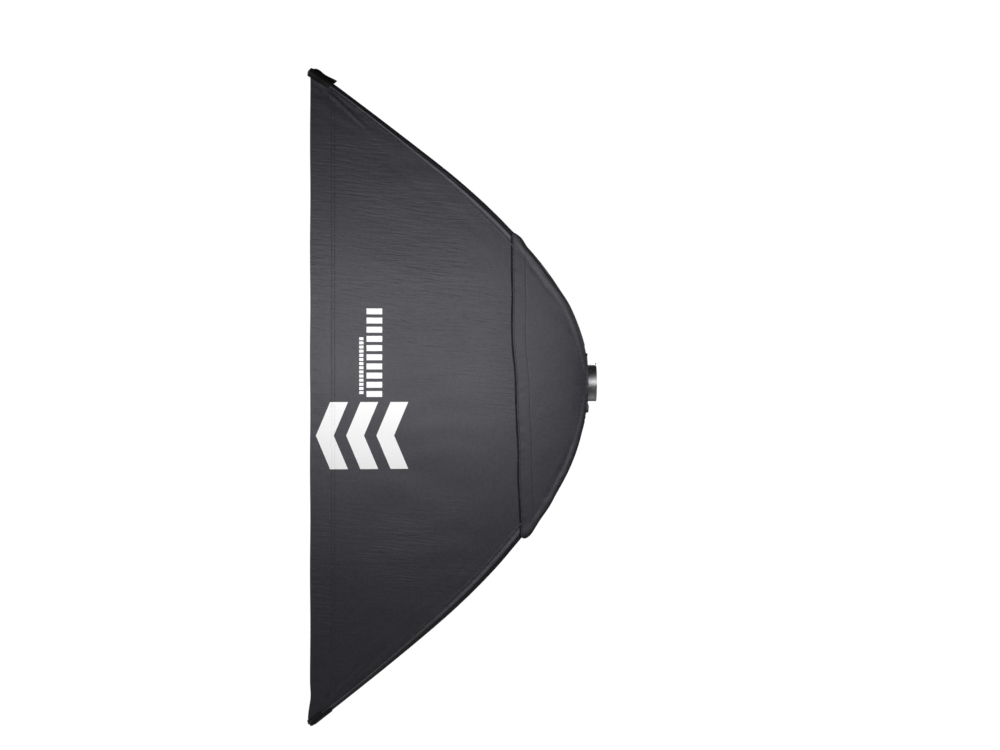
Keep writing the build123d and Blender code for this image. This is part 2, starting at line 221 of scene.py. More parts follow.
def shellArrays(outer, uv, thickness, wrap=False, innerKinds=None, outerKinds=None):
    """A closed thin shell: the outer grid, the same grid moved in along its normals, and a rim."""
    inner = outer - normalsOf(outer, wrap) * (thickness if np.isscalar(thickness) else thickness[..., None])
    rows, cols = outer.shape[:2]
    count = rows * cols
    index = np.arange(count).reshape(rows, cols)
    top = gridFaces(index, wrap)
    low = top[:, ::-1] + count
    if wrap:
        front, back = index[0], index[-1, ::-1]
        loops = [(front, np.roll(front, -1)), (back, np.roll(back, -1))]
    else:
        edge = np.concatenate([index[0, :-1], index[:-1, -1], index[-1, :0:-1], index[:0:-1, 0]])
        loops = [(edge, np.roll(edge, -1))]
    rims = [np.stack([a, b, b + count, a + count], axis=-1) for a, b in loops]
    faces = np.concatenate([top, low, *rims])
    kinds = np.zeros(len(faces), int)
    if innerKinds is not None:
        flat = innerKinds.reshape(-1)
        kinds[len(top):2 * len(top)] = flat[top[:, 0]]
    if outerKinds is not None:
        flat = outerKinds.reshape(-1)
        kinds[:len(top)] = flat[top[:, 0]]
        kinds[2 * len(top):] = flat[np.concatenate([a for a, b in loops])]
    points = np.concatenate([outer.reshape(-1, 3), inner.reshape(-1, 3)])
    uvs = np.concatenate([uv.reshape(-1, 2)] * 2)
    return points, faces, uvs, kinds


def shell(name, outer, uv, thickness, materials, wrap=False, innerKinds=None, outerKinds=None):
    return makeMesh(name, *shellArrays(outer, uv, thickness, wrap, innerKinds, outerKinds), materials)


def joined(name, arrays, materials):
    """One mesh from several sets of arrays."""
    starts = np.cumsum([0] + [len(a[0]) for a in arrays[:-1]])
    faces = np.concatenate([a[1] + s for a, s in zip(arrays, starts)])
    points, uvs, kinds = (np.concatenate([a[k] for a in arrays]) for k in (0, 2, 3))
    return makeMesh(name, points, faces, uvs, kinds, materials)


# --- Shader building ---

def add(tree, kind, inputs=None, **settings):
    made = tree.nodes.new("ShaderNode" + kind)
    for key, value in settings.items():
        setattr(made, key, value)
    for key, value in (inputs or {}).items():
        if isinstance(value, bpy.types.NodeSocket):
            tree.links.new(value, made.inputs[key])
        else:
            made.inputs[key].default_value = value
    return made


def calc(tree, operation, *values):
    return add(tree, "Math", dict(enumerate(values)), operation=operation).outputs[0]


def mixColours(tree, factor, first, second):
    made = add(tree, "Mix", data_type="RGBA")
    for socket, value in zip((made.inputs[0], made.inputs[6], made.inputs[7]), (factor, first, second)):
        if isinstance(value, bpy.types.NodeSocket):
            tree.links.new(value, socket)
        else:
            socket.default_value = value
    return made.outputs[2]


def spread(tree, value, low, high, newLow=0.0, newHigh=1.0):
    """Maps a value from one range to another, clamped and smooth."""
    inputs = {0: value, 1: low, 2: high, 3: newLow, 4: newHigh}
    return add(tree, "MapRange", inputs, interpolation_type="SMOOTHSTEP").outputs[0]


def toned(colour, share):
    """A colour made lighter or darker, no brighter than white."""
    return (*[min(1.0, share * c) for c in colour], 1)


def noise(tree, place, scale, detail, **more):
    inputs = {"Vector": place, "Scale": scale, "Detail": detail, **more}
    return add(tree, "TexNoise", inputs).outputs[0]


def newGroup(name, inputs, outputs):
    group = bpy.data.node_groups.new(name, "ShaderNodeTree")
    for label, kind, value in inputs:
        socket = group.interface.new_socket(label, in_out="INPUT", socket_type="NodeSocket" + kind)
        if value is not None:
            socket.default_value = value
    for label, kind in outputs:
        group.interface.new_socket(label, in_out="OUTPUT", socket_type="NodeSocket" + kind)
    entry = group.nodes.new("NodeGroupInput")
    leave = group.nodes.new("NodeGroupOutput")
    return group, entry.outputs, leave.inputs


def placeGroup(tree, group, inputs):
    made = tree.nodes.new("ShaderNodeGroup")
    made.node_tree = group
    for key, value in inputs.items():
        if isinstance(value, bpy.types.NodeSocket):
            tree.links.new(value, made.inputs[key])
        else:
            made.inputs[key].default_value = value
    return made.outputs


def weaveGroup():
    """Plain weave: the product of a sine across the warp and a sine across the weft, with uneven yarns; its
    tone is half that height, painted shade in the hollows between yarns, and half the yarns' uneven colour.
    """
    group, given, result = newGroup(
        "plainWeave", [("Place", "Vector", None), ("Pitch", "Float", 0.0008)],
        [("Height", "Float"), ("ToneAndShade", "Float")])
    parts = add(group, "SeparateXYZ", {0: given["Place"]}).outputs
    turns = [calc(group, "MULTIPLY", calc(group, "DIVIDE", parts[k], given["Pitch"]), pi) for k in (0, 1)]
    waves = [calc(group, "SINE", turn) for turn in turns]
    height = calc(group, "MULTIPLY_ADD", calc(group, "MULTIPLY", *waves), 0.5, 0.5)
    yarn = add(group, "TexNoise", {"Vector": given["Place"], "Scale": 260.0, "Detail": 1.0}).outputs[0]
    group.links.new(calc(group, "MULTIPLY_ADD", yarn, 0.35, height), result["Height"])
    # Tone: half the weave's height, painted shade between the yarns, and half the yarns' own uneven colour.
    halfYarn = calc(group, "MULTIPLY", yarn, 0.5)
    group.links.new(calc(group, "MULTIPLY_ADD", height, 0.5, halfYarn), result["ToneAndShade"])
    return group


def creaseGroup():
    """Fine horizontal creases: noise stretched along the cloth, kept to patches by a slower noise."""
    group, given, result = newGroup(
        "fineCreases",
        [("Place", "Vector", None), ("Along", "Float", 15.0),
         ("Across", "Float", 150.0), ("Tilt", "Float", 0.1)],
        [("Height", "Float"), ("Patch", "Float")])
    parts = add(group, "SeparateXYZ", {0: given["Place"]}).outputs
    slanted = calc(group, "MULTIPLY_ADD", parts[1], given["Tilt"], parts[2])
    stretched = add(group, "CombineXYZ", {
        0: calc(group, "MULTIPLY", parts[0], given["Along"]),
        1: calc(group, "MULTIPLY", parts[1], given["Along"]),
        2: calc(group, "MULTIPLY", slanted, given["Across"])}).outputs[0]
    lineNoise = {"Vector": stretched, "Scale": 1.0, "Detail": 2.5, "Distortion": 0.6}
    lines = add(group, "TexNoise", lineNoise).outputs[0]
    patch = add(group, "TexNoise", {"Vector": given["Place"], "Scale": 2.6, "Detail": 2.0}).outputs[0]
    kept = spread(group, patch, 0.38, 0.66)
    group.links.new(calc(group, "MULTIPLY", calc(group, "SUBTRACT", lines, 0.5), kept), result["Height"])
    group.links.new(kept, result["Patch"])
    return group


def stitchGroup():
    """A row of stitches on a line: short dashes of thread along it, with a hole between each two."""
    group, given, result = newGroup(
        "stitchRow",
        [("Along", "Float", 0.0), ("Across", "Float", 0.0),
         ("Pitch", "Float", 0.004), ("Width", "Float", 0.0006)],
        [("Thread", "Float"), ("Height", "Float")])
    step = calc(group, "FRACT", calc(group, "DIVIDE", given["Along"], given["Pitch"]))
    dash = spread(group, calc(group, "ABSOLUTE", calc(group, "SUBTRACT", step, 0.5)), 0.42, 0.34)
    near = calc(group, "DIVIDE", calc(group, "ABSOLUTE", given["Across"]), given["Width"])
    thread = calc(group, "MULTIPLY", dash, spread(group, near, 1.1, 0.6))
    dent = spread(group, near, 4.0, 0.5)
    group.links.new(thread, result["Thread"])
    group.links.new(calc(group, "SUBTRACT", calc(group, "MULTIPLY", thread, 0.8), dent), result["Height"])
    return group


def ageGroup():
    """Handling: slow patches, fine specks and faint rubs, for colour and roughness."""
    group, given, result = newGroup(
        "handling", [("Place", "Vector", None), ("Size", "Float", 6.0)],
        [("Patch", "Float"), ("Speck", "Float"), ("Rub", "Float")])
    patchNoise = {"Vector": given["Place"], "Scale": given["Size"], "Detail": 4.0}
    patch = add(group, "TexNoise", patchNoise).outputs[0]
    speck = add(group, "TexNoise", {"Vector": given["Place"], "Scale": 900.0, "Detail": 2.0}).outputs[0]
    long = add(group, "Mapping", {"Vector": given["Place"], "Scale": (90.0, 90.0, 6.0)}).outputs[0]
    rub = add(group, "TexNoise", {"Vector": long, "Scale": 1.0, "Detail": 3.0, "Roughness": 0.7}).outputs[0]
    group.links.new(patch, result["Patch"])
    group.links.new(spread(group, speck, 0.55, 0.75), result["Speck"])
    group.links.new(spread(group, rub, 0.58, 0.8), result["Rub"])
    return group


groups = dict(weave=weaveGroup(), crease=creaseGroup(), stitch=stitchGroup(), age=ageGroup())


def newMaterial(name, colour, roughness, **constants):
    """A material with its plain values on the shader's own sockets."""
    material = bpy.data.materials.new(name)
    material.use_nodes = True
    tree = material.node_tree
    shader = tree.nodes["Principled BSDF"]
    shader.inputs["Base Color"].default_value = (*colour, 1)
    shader.inputs["Roughness"].default_value = roughness
    for key, value in constants.items():
        shader.inputs[key.replace("_", " ")].default_value = value
    return material, tree, shader


def objectPlace(tree):
    return add(tree, "TexCoord").outputs["Object"]


def clothPlace(tree):
    return add(tree, "UVMap", uv_map="cloth").outputs[0]


def bumpOf(tree, height, distance, strength=1.0, under=None):
    inputs = {"Height": height, "Distance": distance, "Strength": strength}
    if under is not None:
        inputs["Normal"] = under
    return add(tree, "Bump", inputs).outputs[0]


def stitchRows(tree, flat, rows, pitch=0.004):
    """Several stitch lines on the cloth's own map; a row is (axis across it, place of the line)."""
    parts = add(tree, "SeparateXYZ", {0: flat}).outputs
    thread, height = None, None
    for axis, line in rows:
        across = calc(tree, "SUBTRACT", parts[axis], line)
        given = {"Along": parts[1 - axis], "Across": across, "Pitch": pitch}
        made = placeGroup(tree, groups["stitch"], given)
        thread = made[0] if thread is None else calc(tree, "MAXIMUM", thread, made[0])
        height = made[1] if height is None else calc(tree, "ADD", height, made[1])
    return thread, height


# The print on the right side: chevrons pointing to the front, a row of blocks and a thin row beside it
printSet = dict(
    chevronFront=-0.776, chevronPitch=0.083, chevronBar=0.049, chevronMiddle=-0.145, chevronHalf=0.093,
    slope=0.42,
    rowLow=-0.637, rowHigh=-0.594, rowPitch=0.0255, rowBlock=0.0165, rowStart=-0.038, rowCount=10,
    thinLow=-0.657, thinHigh=-0.6455, thinPitch=0.0115, thinBlock=0.0082, thinStart=-0.030, thinCount=14,
    soft=0.0005,
)


def insideBand(tree, value, low, high):
    """1 between low and high, with a soft edge."""
    middle, half = (low + high) / 2, (high - low) / 2
    away = calc(tree, "ABSOLUTE", calc(tree, "SUBTRACT", value, middle))
    return spread(tree, away, half + printSet["soft"], half - printSet["soft"])


def printMask(tree):
    p = printSet
    parts = add(tree, "SeparateXYZ", {0: objectPlace(tree)}).outputs
    rise = calc(tree, "ABSOLUTE", calc(tree, "SUBTRACT", parts[2], p["chevronMiddle"]))
    back = calc(tree, "SUBTRACT", parts[1], calc(tree, "MULTIPLY_ADD", rise, p["slope"], p["chevronFront"]))
    bar = insideBand(tree, calc(tree, "WRAP", back, p["chevronPitch"], 0.0), 0.0, p["chevronBar"])
    kept = insideBand(tree, back, -0.001, 2 * p["chevronPitch"] + p["chevronBar"])
    tall = insideBand(tree, rise, -1.0, p["chevronHalf"])
    mask = calc(tree, "MULTIPLY", calc(tree, "MULTIPLY", bar, kept), tall)
    for row in ("row", "thin"):
        pitch, block, start = p[row + "Pitch"], p[row + "Block"], p[row + "Start"]
        up = calc(tree, "SUBTRACT", parts[2], start)
        blocks = insideBand(tree, calc(tree, "WRAP", up, pitch, 0.0), 0.0, block)
        length = insideBand(tree, up, -0.001, (p[row + "Count"] - 1) * pitch + block)
        width = insideBand(tree, parts[1], p[row + "Low"], p[row + "High"])
        shape = calc(tree, "MULTIPLY", width, calc(tree, "MULTIPLY", blocks, length))
        mask = calc(tree, "MAXIMUM", mask, shape)
    return mask


def nylonMaterial(name, rows=(), printed=False, tone=1.0, creases=0.00046, tilt=0.1, ridge=None):
    """Charcoal nylon: plain weave on its own map, fine creases, faint handling marks, stitch rows and, where
    a ridge is given, a painted highlight along it.
    """
    colour = tuple(tone * c for c in (0.0395, 0.0380, 0.0486))
    material, tree, shader = newMaterial(
        name, colour, 0.56, Sheen_Weight=0.10, Sheen_Roughness=0.45, Specular_IOR_Level=0.42)
    flat, place = clothPlace(tree), objectPlace(tree)
    weave = placeGroup(tree, groups["weave"], {"Place": flat, "Pitch": 0.0009})
    crease = placeGroup(tree, groups["crease"], {"Place": place, "Tilt": tilt})
    age = placeGroup(tree, groups["age"], {"Place": place, "Size": 5.0})
    light = toned(colour, 1.16)
    # Lighter on the yarns' crests, darker between them: painted shade from the weave's tone, mixed with the
    # yarns' uneven colour.
    woven = mixColours(tree, weave["ToneAndShade"], toned(colour, 0.80), light)
    mottle = noise(tree, place, 110.0, 4.0, Roughness=0.75)
    woven = mixColours(tree, spread(tree, mottle, 0.62, 0.34, 0.0, 0.48), woven, toned(colour, 0.5))
    shade = mixColours(tree, spread(tree, age["Patch"], 0.3, 0.75, 0.0, 0.3), woven, light)
    dustAndHighlight = mixColours(tree, calc(tree, "MULTIPLY", age["Speck"], 0.12), shade, (0.16, 0.16, 0.165, 1))
    roughness = calc(tree, "MULTIPLY_ADD", age["Patch"], 0.16, 0.48)
    normal = bumpOf(tree, crease["Height"], creases * 4)
    normal = bumpOf(tree, weave["Height"], 0.00008, 0.6, normal)
    # Where a ridge is given: a painted highlight, a lighter line along the ridge's top where light catches
    # it, broken up by slow patches.
    if ridge:
        across = add(tree, "SeparateXYZ", {0: flat}).outputs[1]
        away = calc(tree, "ABSOLUTE", calc(tree, "SUBTRACT", across, ridge))
        patches = spread(tree, age["Patch"], 0.30, 0.62, 0.35, 0.85)
        ridgeHighlight = calc(tree, "MULTIPLY", spread(tree, away, 0.0042, 0.0008), patches)
        dustAndHighlight = mixColours(tree, ridgeHighlight, dustAndHighlight, toned(colour, 2.7))
    if rows:
        thread, height = stitchRows(tree, flat, rows)
        dustAndHighlight = mixColours(tree, thread, dustAndHighlight, (0.030, 0.030, 0.033, 1))
        normal = bumpOf(tree, height, 0.00035, 1.0, normal)
    if printed:
        mask = printMask(tree)
        # The ink is also painted darker between the yarns.
        ink = mixColours(tree, weave["ToneAndShade"], (0.82, 0.82, 0.82, 1), (0.90, 0.90, 0.90, 1))
        dustAndHighlight = mixColours(tree, mask, dustAndHighlight, ink)
        roughness = calc(tree, "MULTIPLY_ADD", mask, -0.06, roughness)
    tree.links.new(dustAndHighlight, shader.inputs["Base Color"])
    tree.links.new(roughness, shader.inputs["Roughness"])
    tree.links.new(normal, shader.inputs["Normal"])
    return material


def liningMaterial():
    """Silver reflective lining: metal-coated cloth with a fine pebble grain and soft crinkles; its colour is
    darker in the crinkles' hollows, painted shade.
    """
    material, tree, shader = newMaterial("silverLining", (0.72, 0.73, 0.74), 0.34, Metallic=0.85)
    place = objectPlace(tree)
    pebble = add(tree, "TexVoronoi", {"Vector": place, "Scale": 420.0}).outputs["Distance"]
    crinkle = noise(tree, place, 34.0, 5.0, Distortion=0.7)
    # Colour follows the crinkles' height: painted shade in their hollows.
    tone = mixColours(tree, spread(tree, crinkle, 0.3, 0.7), (0.60, 0.61, 0.62, 1), (0.80, 0.81, 0.82, 1))
    normal = bumpOf(tree, crinkle, 0.0018)
    normal = bumpOf(tree, pebble, 0.0004, 0.7, normal)
    tree.links.new(tone, shader.inputs["Base Color"])
    tree.links.new(calc(tree, "MULTIPLY_ADD", crinkle, 0.2, 0.24), shader.inputs["Roughness"])
    tree.links.new(normal, shader.inputs["Normal"])
    return material


def whiteCloth(name, colour, rows, roughness=0.78):
    """White diffusion cloth: fine weave, faint shadows of its own folds and a stitched border."""
    material, tree, shader = newMaterial(
        name, colour, roughness, Sheen_Weight=0.25, Subsurface_Weight=0.12, Subsurface_Scale=0.01)
    flat, place = clothPlace(tree), objectPlace(tree)
    weave = placeGroup(tree, groups["weave"], {"Place": flat, "Pitch": 0.0007})
    age = placeGroup(tree, groups["age"], {"Place": place, "Size": 3.5})
    crease = placeGroup(tree, groups["crease"], {"Place": place, "Along": 3.0, "Across": 16.0, "Tilt": 0.3})
    # Lighter on the yarns' crests, darker between them: painted shade from the weave's tone, mixed with the
    # yarns' uneven colour.
    tone = mixColours(tree, weave["ToneAndShade"], toned(colour, 0.92), toned(colour, 1.0))
    patches = spread(tree, age["Patch"], 0.35, 0.8, 0.0, 0.25)
    tone = mixColours(tree, patches, tone, toned(colour, 0.88))
    thread, height = stitchRows(tree, flat, rows, 0.0035)
    tone = mixColours(tree, calc(tree, "MULTIPLY", thread, 0.6), tone, (0.60, 0.60, 0.60, 1))
    normal = bumpOf(tree, crease["Height"], 0.0012)
    normal = bumpOf(tree, weave["Height"], 0.00008, 0.6, normal)
    normal = bumpOf(tree, height, 0.0003, 1.0, normal)
    tree.links.new(tone, shader.inputs["Base Color"])
    rough = calc(tree, "MULTIPLY_ADD", age["Patch"], 0.12, roughness - 0.06)
    tree.links.new(rough, shader.inputs["Roughness"])
    tree.links.new(normal, shader.inputs["Normal"])
    return material


def webbingMaterial(name, colour, roughness, ribs=0.0016, depth=0.00012):
    """Woven webbing: ribs across its length and a finer twill between them, with painted shade in the hollows
    and a painted highlight on the rib tops.
    """
    material, tree, shader = newMaterial(name, colour, roughness, Specular_IOR_Level=0.28)
    flat = clothPlace(tree)
    parts = add(tree, "SeparateXYZ", {0: flat}).outputs
    rib = calc(tree, "SINE", calc(tree, "MULTIPLY", parts[0], 2 * pi / ribs))
    diagonal = calc(tree, "ADD", parts[0], parts[1])
    slant = calc(tree, "SINE", calc(tree, "MULTIPLY", diagonal, 2 * pi / (0.7 * ribs)))
    height = calc(tree, "MULTIPLY_ADD", slant, 0.3, rib)
    age = placeGroup(tree, groups["age"], {"Place": objectPlace(tree), "Size": 40.0})
    # Colour follows the ribs' height: painted shade in the hollows, painted highlight on the rib tops.
    tone = mixColours(tree, spread(tree, height, -1.2, 1.2), toned(colour, 0.6), toned(colour, 1.5))
    tree.links.new(tone, shader.inputs["Base Color"])
    rough = calc(tree, "MULTIPLY_ADD", age["Patch"], 0.3, roughness - 0.15)
    tree.links.new(rough, shader.inputs["Roughness"])
    tree.links.new(bumpOf(tree, height, depth), shader.inputs["Normal"])
    return material


def tapeMaterial(name, hooked):
    """Hook tape has rows of small stiff studs, loop tape a brushed pile."""
    roughness, sheen = (0.5, 0.05) if hooked else (0.95, 0.6)
    material, tree, shader = newMaterial(name, (0.016, 0.016, 0.017), roughness, Sheen_Weight=sheen)
    place = objectPlace(tree)
    if hooked:
        studs = {"Vector": place, "Scale": 620.0, "Randomness": 0.25}
        height = add(tree, "TexVoronoi", studs).outputs["Distance"]
    else:
        height = noise(tree, place, 700.0, 4.0, Roughness=0.8)
    tone = mixColours(tree, height, (0.034, 0.034, 0.036, 1), (0.009, 0.009, 0.010, 1))
    tree.links.new(tone, shader.inputs["Base Color"])
    tree.links.new(bumpOf(tree, height, 0.0006 if hooked else 0.001), shader.inputs["Normal"])
    return material


def metalMaterial(name, colour, roughness, grain, depth, turned=False):
    """Bare or plated metal: cast grain or lathe lines, smears in its roughness, rubbed brighter spots."""
    material, tree, shader = newMaterial(name, colour, roughness, Metallic=1.0)
    place = objectPlace(tree)
    age = placeGroup(tree, groups["age"], {"Place": place, "Size": 45.0})
    if turned:
        parts = add(tree, "SeparateXYZ", {0: place}).outputs
        squares = [calc(tree, "MULTIPLY", parts[k], parts[k]) for k in (0, 2)]
        radius = calc(tree, "SQRT", calc(tree, "ADD", *squares))
        scaled = [calc(tree, "MULTIPLY", value, grain) for value in (radius, parts[1])]
        lines = add(tree, "CombineXYZ", dict(enumerate(scaled))).outputs[0]
        height = noise(tree, lines, 1.0, 3.0)
    else:
        height = noise(tree, place, grain, 5.0, Roughness=0.65)
    tone = mixColours(tree, spread(tree, age["Patch"], 0.3, 0.7), toned(colour, 0.72), toned(colour, 1.0))
    tone = mixColours(tree, calc(tree, "MULTIPLY", age["Rub"], 0.5), tone, toned(colour, 1.2))
    rough = calc(tree, "MULTIPLY_ADD", age["Patch"], 0.24, roughness - 0.12)
    tree.links.new(tone, shader.inputs["Base Color"])
    tree.links.new(calc(tree, "MULTIPLY_ADD", height, 0.08, rough), shader.inputs["Roughness"])
    tree.links.new(bumpOf(tree, height, depth), shader.inputs["Normal"])
    return material


def plasticMaterial(name, colour, roughness):
    """Moulded plastic: a fine spark-eroded grain with polished rubs."""
    material, tree, shader = newMaterial(name, colour, roughness, Specular_IOR_Level=0.5)
    place = objectPlace(tree)
    age = placeGroup(tree, groups["age"], {"Place": place, "Size": 60.0})
    grain = noise(tree, place, 1400.0, 3.0)
    polished = (*[min(1.0, 1.8 * c + 0.01) for c in colour], 1)
    tone = mixColours(tree, age["Patch"], toned(colour, 0.8), toned(colour, 1.2))
    tone = mixColours(tree, calc(tree, "MULTIPLY", age["Rub"], 0.3), tone, polished)
    tree.links.new(tone, shader.inputs["Base Color"])
    tree.links.new(calc(tree, "MULTIPLY_ADD", age["Rub"], -0.15, roughness), shader.inputs["Roughness"])
    tree.links.new(bumpOf(tree, grain, 0.00012), shader.inputs["Normal"])
    return material


looks = dict(
    side=nylonMaterial("nylonCloth", rows=[(0, 0.0585), (0, 0.067)]),
    printedSide=nylonMaterial("printedNylon", rows=[(0, 0.0585), (0, 0.067)], printed=True),
    end=nylonMaterial("endNylon", rows=[(0, 0.0585)], creases=0.00030),
    sleeve=nylonMaterial(
        "sleeveNylon", rows=[(1, 0.0400), (1, 0.0446)], tone=0.98, creases=0.00010, ridge=0.0335),
    flap=nylonMaterial("flapNylon", rows=[(0, 0.036), (0, 0.004)], tone=0.97, creases=0.00016, tilt=-0.15),
    # A darker copy of the nylon: painted shade on the sleeves' rolls and the flaps' rims where they turn away
    # from the light, and the corner pockets' own cloth.
    edgingAndShade=nylonMaterial("edgingAndShadeNylon", tone=0.30, creases=0.00010),
    collar=nylonMaterial("collarNylon", rows=[(0, 0.003)], tone=0.8, creases=0.00008),
    lip=nylonMaterial("lipNylon", tone=0.62),
    lining=liningMaterial(),
    diffuser=whiteCloth(
        "diffuserCloth", (0.83, 0.83, 0.82), [(0, 0.012), (0, 0.365), (1, 0.012), (1, 1.681)]),
    baffle=whiteCloth(
        "baffleCloth", (0.80, 0.80, 0.79), [(0, 0.010), (0, 0.226), (1, 0.010), (1, 1.035)]),
    tab=webbingMaterial("cornerWebbing", (0.0060, 0.0060, 0.0063), 0.62, depth=0.00006),
    # Near-black strip before each flap's edge: a painted shadow of the flap's raised edge.
    flapShadow=webbingMaterial("paintedFlapShadow", (0.0050, 0.0050, 0.0053), 0.75, ribs=0.0010, depth=0.00004),
    strap=webbingMaterial("strapWebbing", (0.012, 0.012, 0.013), 0.6, ribs=0.0012),
    hooks=tapeMaterial("hookTape", True),
    loops=tapeMaterial("loopTape", False),
    cast=metalMaterial("castAluminium", (0.50, 0.50, 0.51), 0.46, 700.0, 0.00025),
    machined=metalMaterial("machinedNeck", (0.34, 0.34, 0.35), 0.42, 1500.0, 0.00002, turned=True),
    retainer=metalMaterial("satinPlate", (0.42, 0.42, 0.43), 0.38, 1100.0, 0.00003, turned=True),
    zinc=metalMaterial("zincScrew", (0.62, 0.61, 0.58), 0.34, 2200.0, 0.00003),
    spring=metalMaterial("springSteel", (0.26, 0.26, 0.27), 0.3, 1800.0, 0.00003),
    ferrule=metalMaterial("ferruleSteel", (0.66, 0.66, 0.66), 0.24, 1600.0, 0.00002),
    snap=metalMaterial("nickelStud", (0.70, 0.68, 0.64), 0.22, 1500.0, 0.00002),
    acetal=plasticMaterial("whiteAcetal", (0.74, 0.73, 0.70), 0.42),
    socket=plasticMaterial("socketPlastic", (0.022, 0.022, 0.023), 0.48),
    tip=plasticMaterial("tipPlastic", (0.018, 0.018, 0.019), 0.5),
)
print("materials made:", len(looks))

nodeLooks = dict(
    bayonet_adapter="machined", speed_ring="cast", ring_retainer="retainer", retainer_screws="zinc",
    glide_washer="acetal", lip_hook_tapes="hooks", diffuser_loop_tapes="loops",
)
rodLooks = dict(spring_rod="spring", rod_ferrule="ferrule", rod_socket="socket", rod_tip="tip")
for end in ends:
    for side in sides:
        for kind, look in rodLooks.items():
            nodeLooks[f"{kind}_{end}_{side}"] = look
for side in sides:
    nodeLooks[f"flap_hook_tape_{side}"] = "hooks"
    nodeLooks[f"flap_loop_tape_{side}"] = "loops"


def dressNodes():
    for name, look in nodeLooks.items():
        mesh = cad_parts[name].data
        mesh.materials.clear()
        mesh.materials.append(looks[look])


dressNodes()

# --- Side panels ---

sidePanel = dict(
    rows=122, cols=350, thickness=0.0012, edgeInset=0.007, sag=0.0055,
    hem=0.030, foldRadius=0.0032, seams=(0.0585, 0.067), seamDent=0.00045,
    puffs=0.00045, puffLength=0.041, broadFolds=0.0022, cornerFolds=0.0028, creaseDepth=0.0040,
    pullFolds=0.0013,
)


def panelDepths(rows):
    """Depths from the front edge: close together over the folded edge and the hem, wider behind them."""
    edge = np.linspace(0, 0.004, 6)[:-1]
    hem = np.linspace(0.004, 0.072, 26)[:-1]
    rest = np.linspace(0.072, box["panelRearY"] - box["frontY"], rows - 30)
    return np.concatenate([edge, hem, rest])


def sidePanelGrid(side):
    p = sidePanel
    behind = panelDepths(p["rows"])[:, None] * np.ones((1, p["cols"]))
    y = box["frontY"] + behind
    high = heightAt(y, 1) - p["edgeInset"]
    low = -heightAt(y, -1) + p["edgeInset"]
    v = np.linspace(0, 1, p["cols"])[None, :]
    z = low + (high - low) * v
    seed = 11 if side > 0 else 47
    middle = 1 - (2 * v - 1) ** 2
    free = ease(0.072, 0.26, behind) * ease(-0.228, -0.42, y)
    x = widthAt(y) - p["sag"] * free * middle ** 0.8
    x += p["broadFolds"] * free * folds(y, z, seed, 0.62, 0.07, heading=pi / 2 - 0.25, fan=0.35)
    for end, edge in ((1, high - z), (-1, z - low)):
        inwards = np.exp(-np.clip(edge, 0, None) / 0.055)
        near = inwards * ease(0.30, 0.05, behind) * ease(0.0, 0.04, edge + 0.02)
        fan = folds(edge, behind, seed + 3 * end, 0.085, 0.022, heading=0.12, fan=0.16)
        x += p["cornerFolds"] * near * fan
        along = behind * 0.80 + edge * 0.35
        reach = ease(0.030, 0.055, behind) * ease(0.19, 0.10, behind)
        crease = bell(edge, 0.034 + 0.010 * np.sin(behind * 60), 0.009) * reach
        x += p["creaseDepth"] * crease * np.cos(2 * pi * (edge - 0.22 * behind) / 0.030 + 2.2 + 8 * along)
        pull = np.exp(-np.clip(edge, 0, None) / 0.11) * free
        slanted = folds(y * 0.6 + z * end * 0.8, edge, seed + 5 + end, 0.12, 0.035, heading=0.2, fan=0.3)
        x += p["pullFolds"] * pull * slanted
    puff = np.sin(2 * pi * z / p["puffLength"] + 1.3 * np.sin(z * 9)) * bell(behind, 0.014, 0.010)
    x += p["puffs"] * puff * (0.5 + 0.5 * np.sin(z * 5.3 + 1))
    for seam in p["seams"]:
        x -= p["seamDent"] * bell(behind, seam, 0.0016)
    inside = np.clip(1 - behind / p["foldRadius"], 0, 1)
    x -= p["foldRadius"] * 0.75 * (1 - np.sqrt(1 - inside**2 * 0.98))
    edgeWave = 0.0066 * ease(0.044, 0.006, v) - 0.0016 * bell(v, 0.046, 0.012) + 0.0005 * np.sin(z * 21)
    y = y - edgeWave * ease(0.03, 0.0, behind)
    uv = np.stack([behind, z + 1.0], axis=-1)
    return onSide(np.stack([x, y, z], axis=-1), side), onSide(uv, side)


def makeSidePanels():
    for name, side in sides.items():
        outer, uv = sidePanelGrid(side)
        lipped = outer[..., 1] < box["diffuserY"] - 0.004
        piece = shell(
            "sidePanel" + name.title(), outer, uv, sidePanel["thickness"],
            [looks["printedSide" if side > 0 else "side"], looks["lining"], looks["lip"]],
            innerKinds=np.where(lipped, 2, 1))
        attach(piece, "box")
        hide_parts(f"side_panel_{name}")


makeSidePanels()
print("side panels made")

# --- End panels, across the narrow top and bottom ---

endPanel = dict(rows=150, cols=84, thickness=0.0012, edgeInset=0.0015, sag=0.0045, folds=0.0010, hem=0.0585)


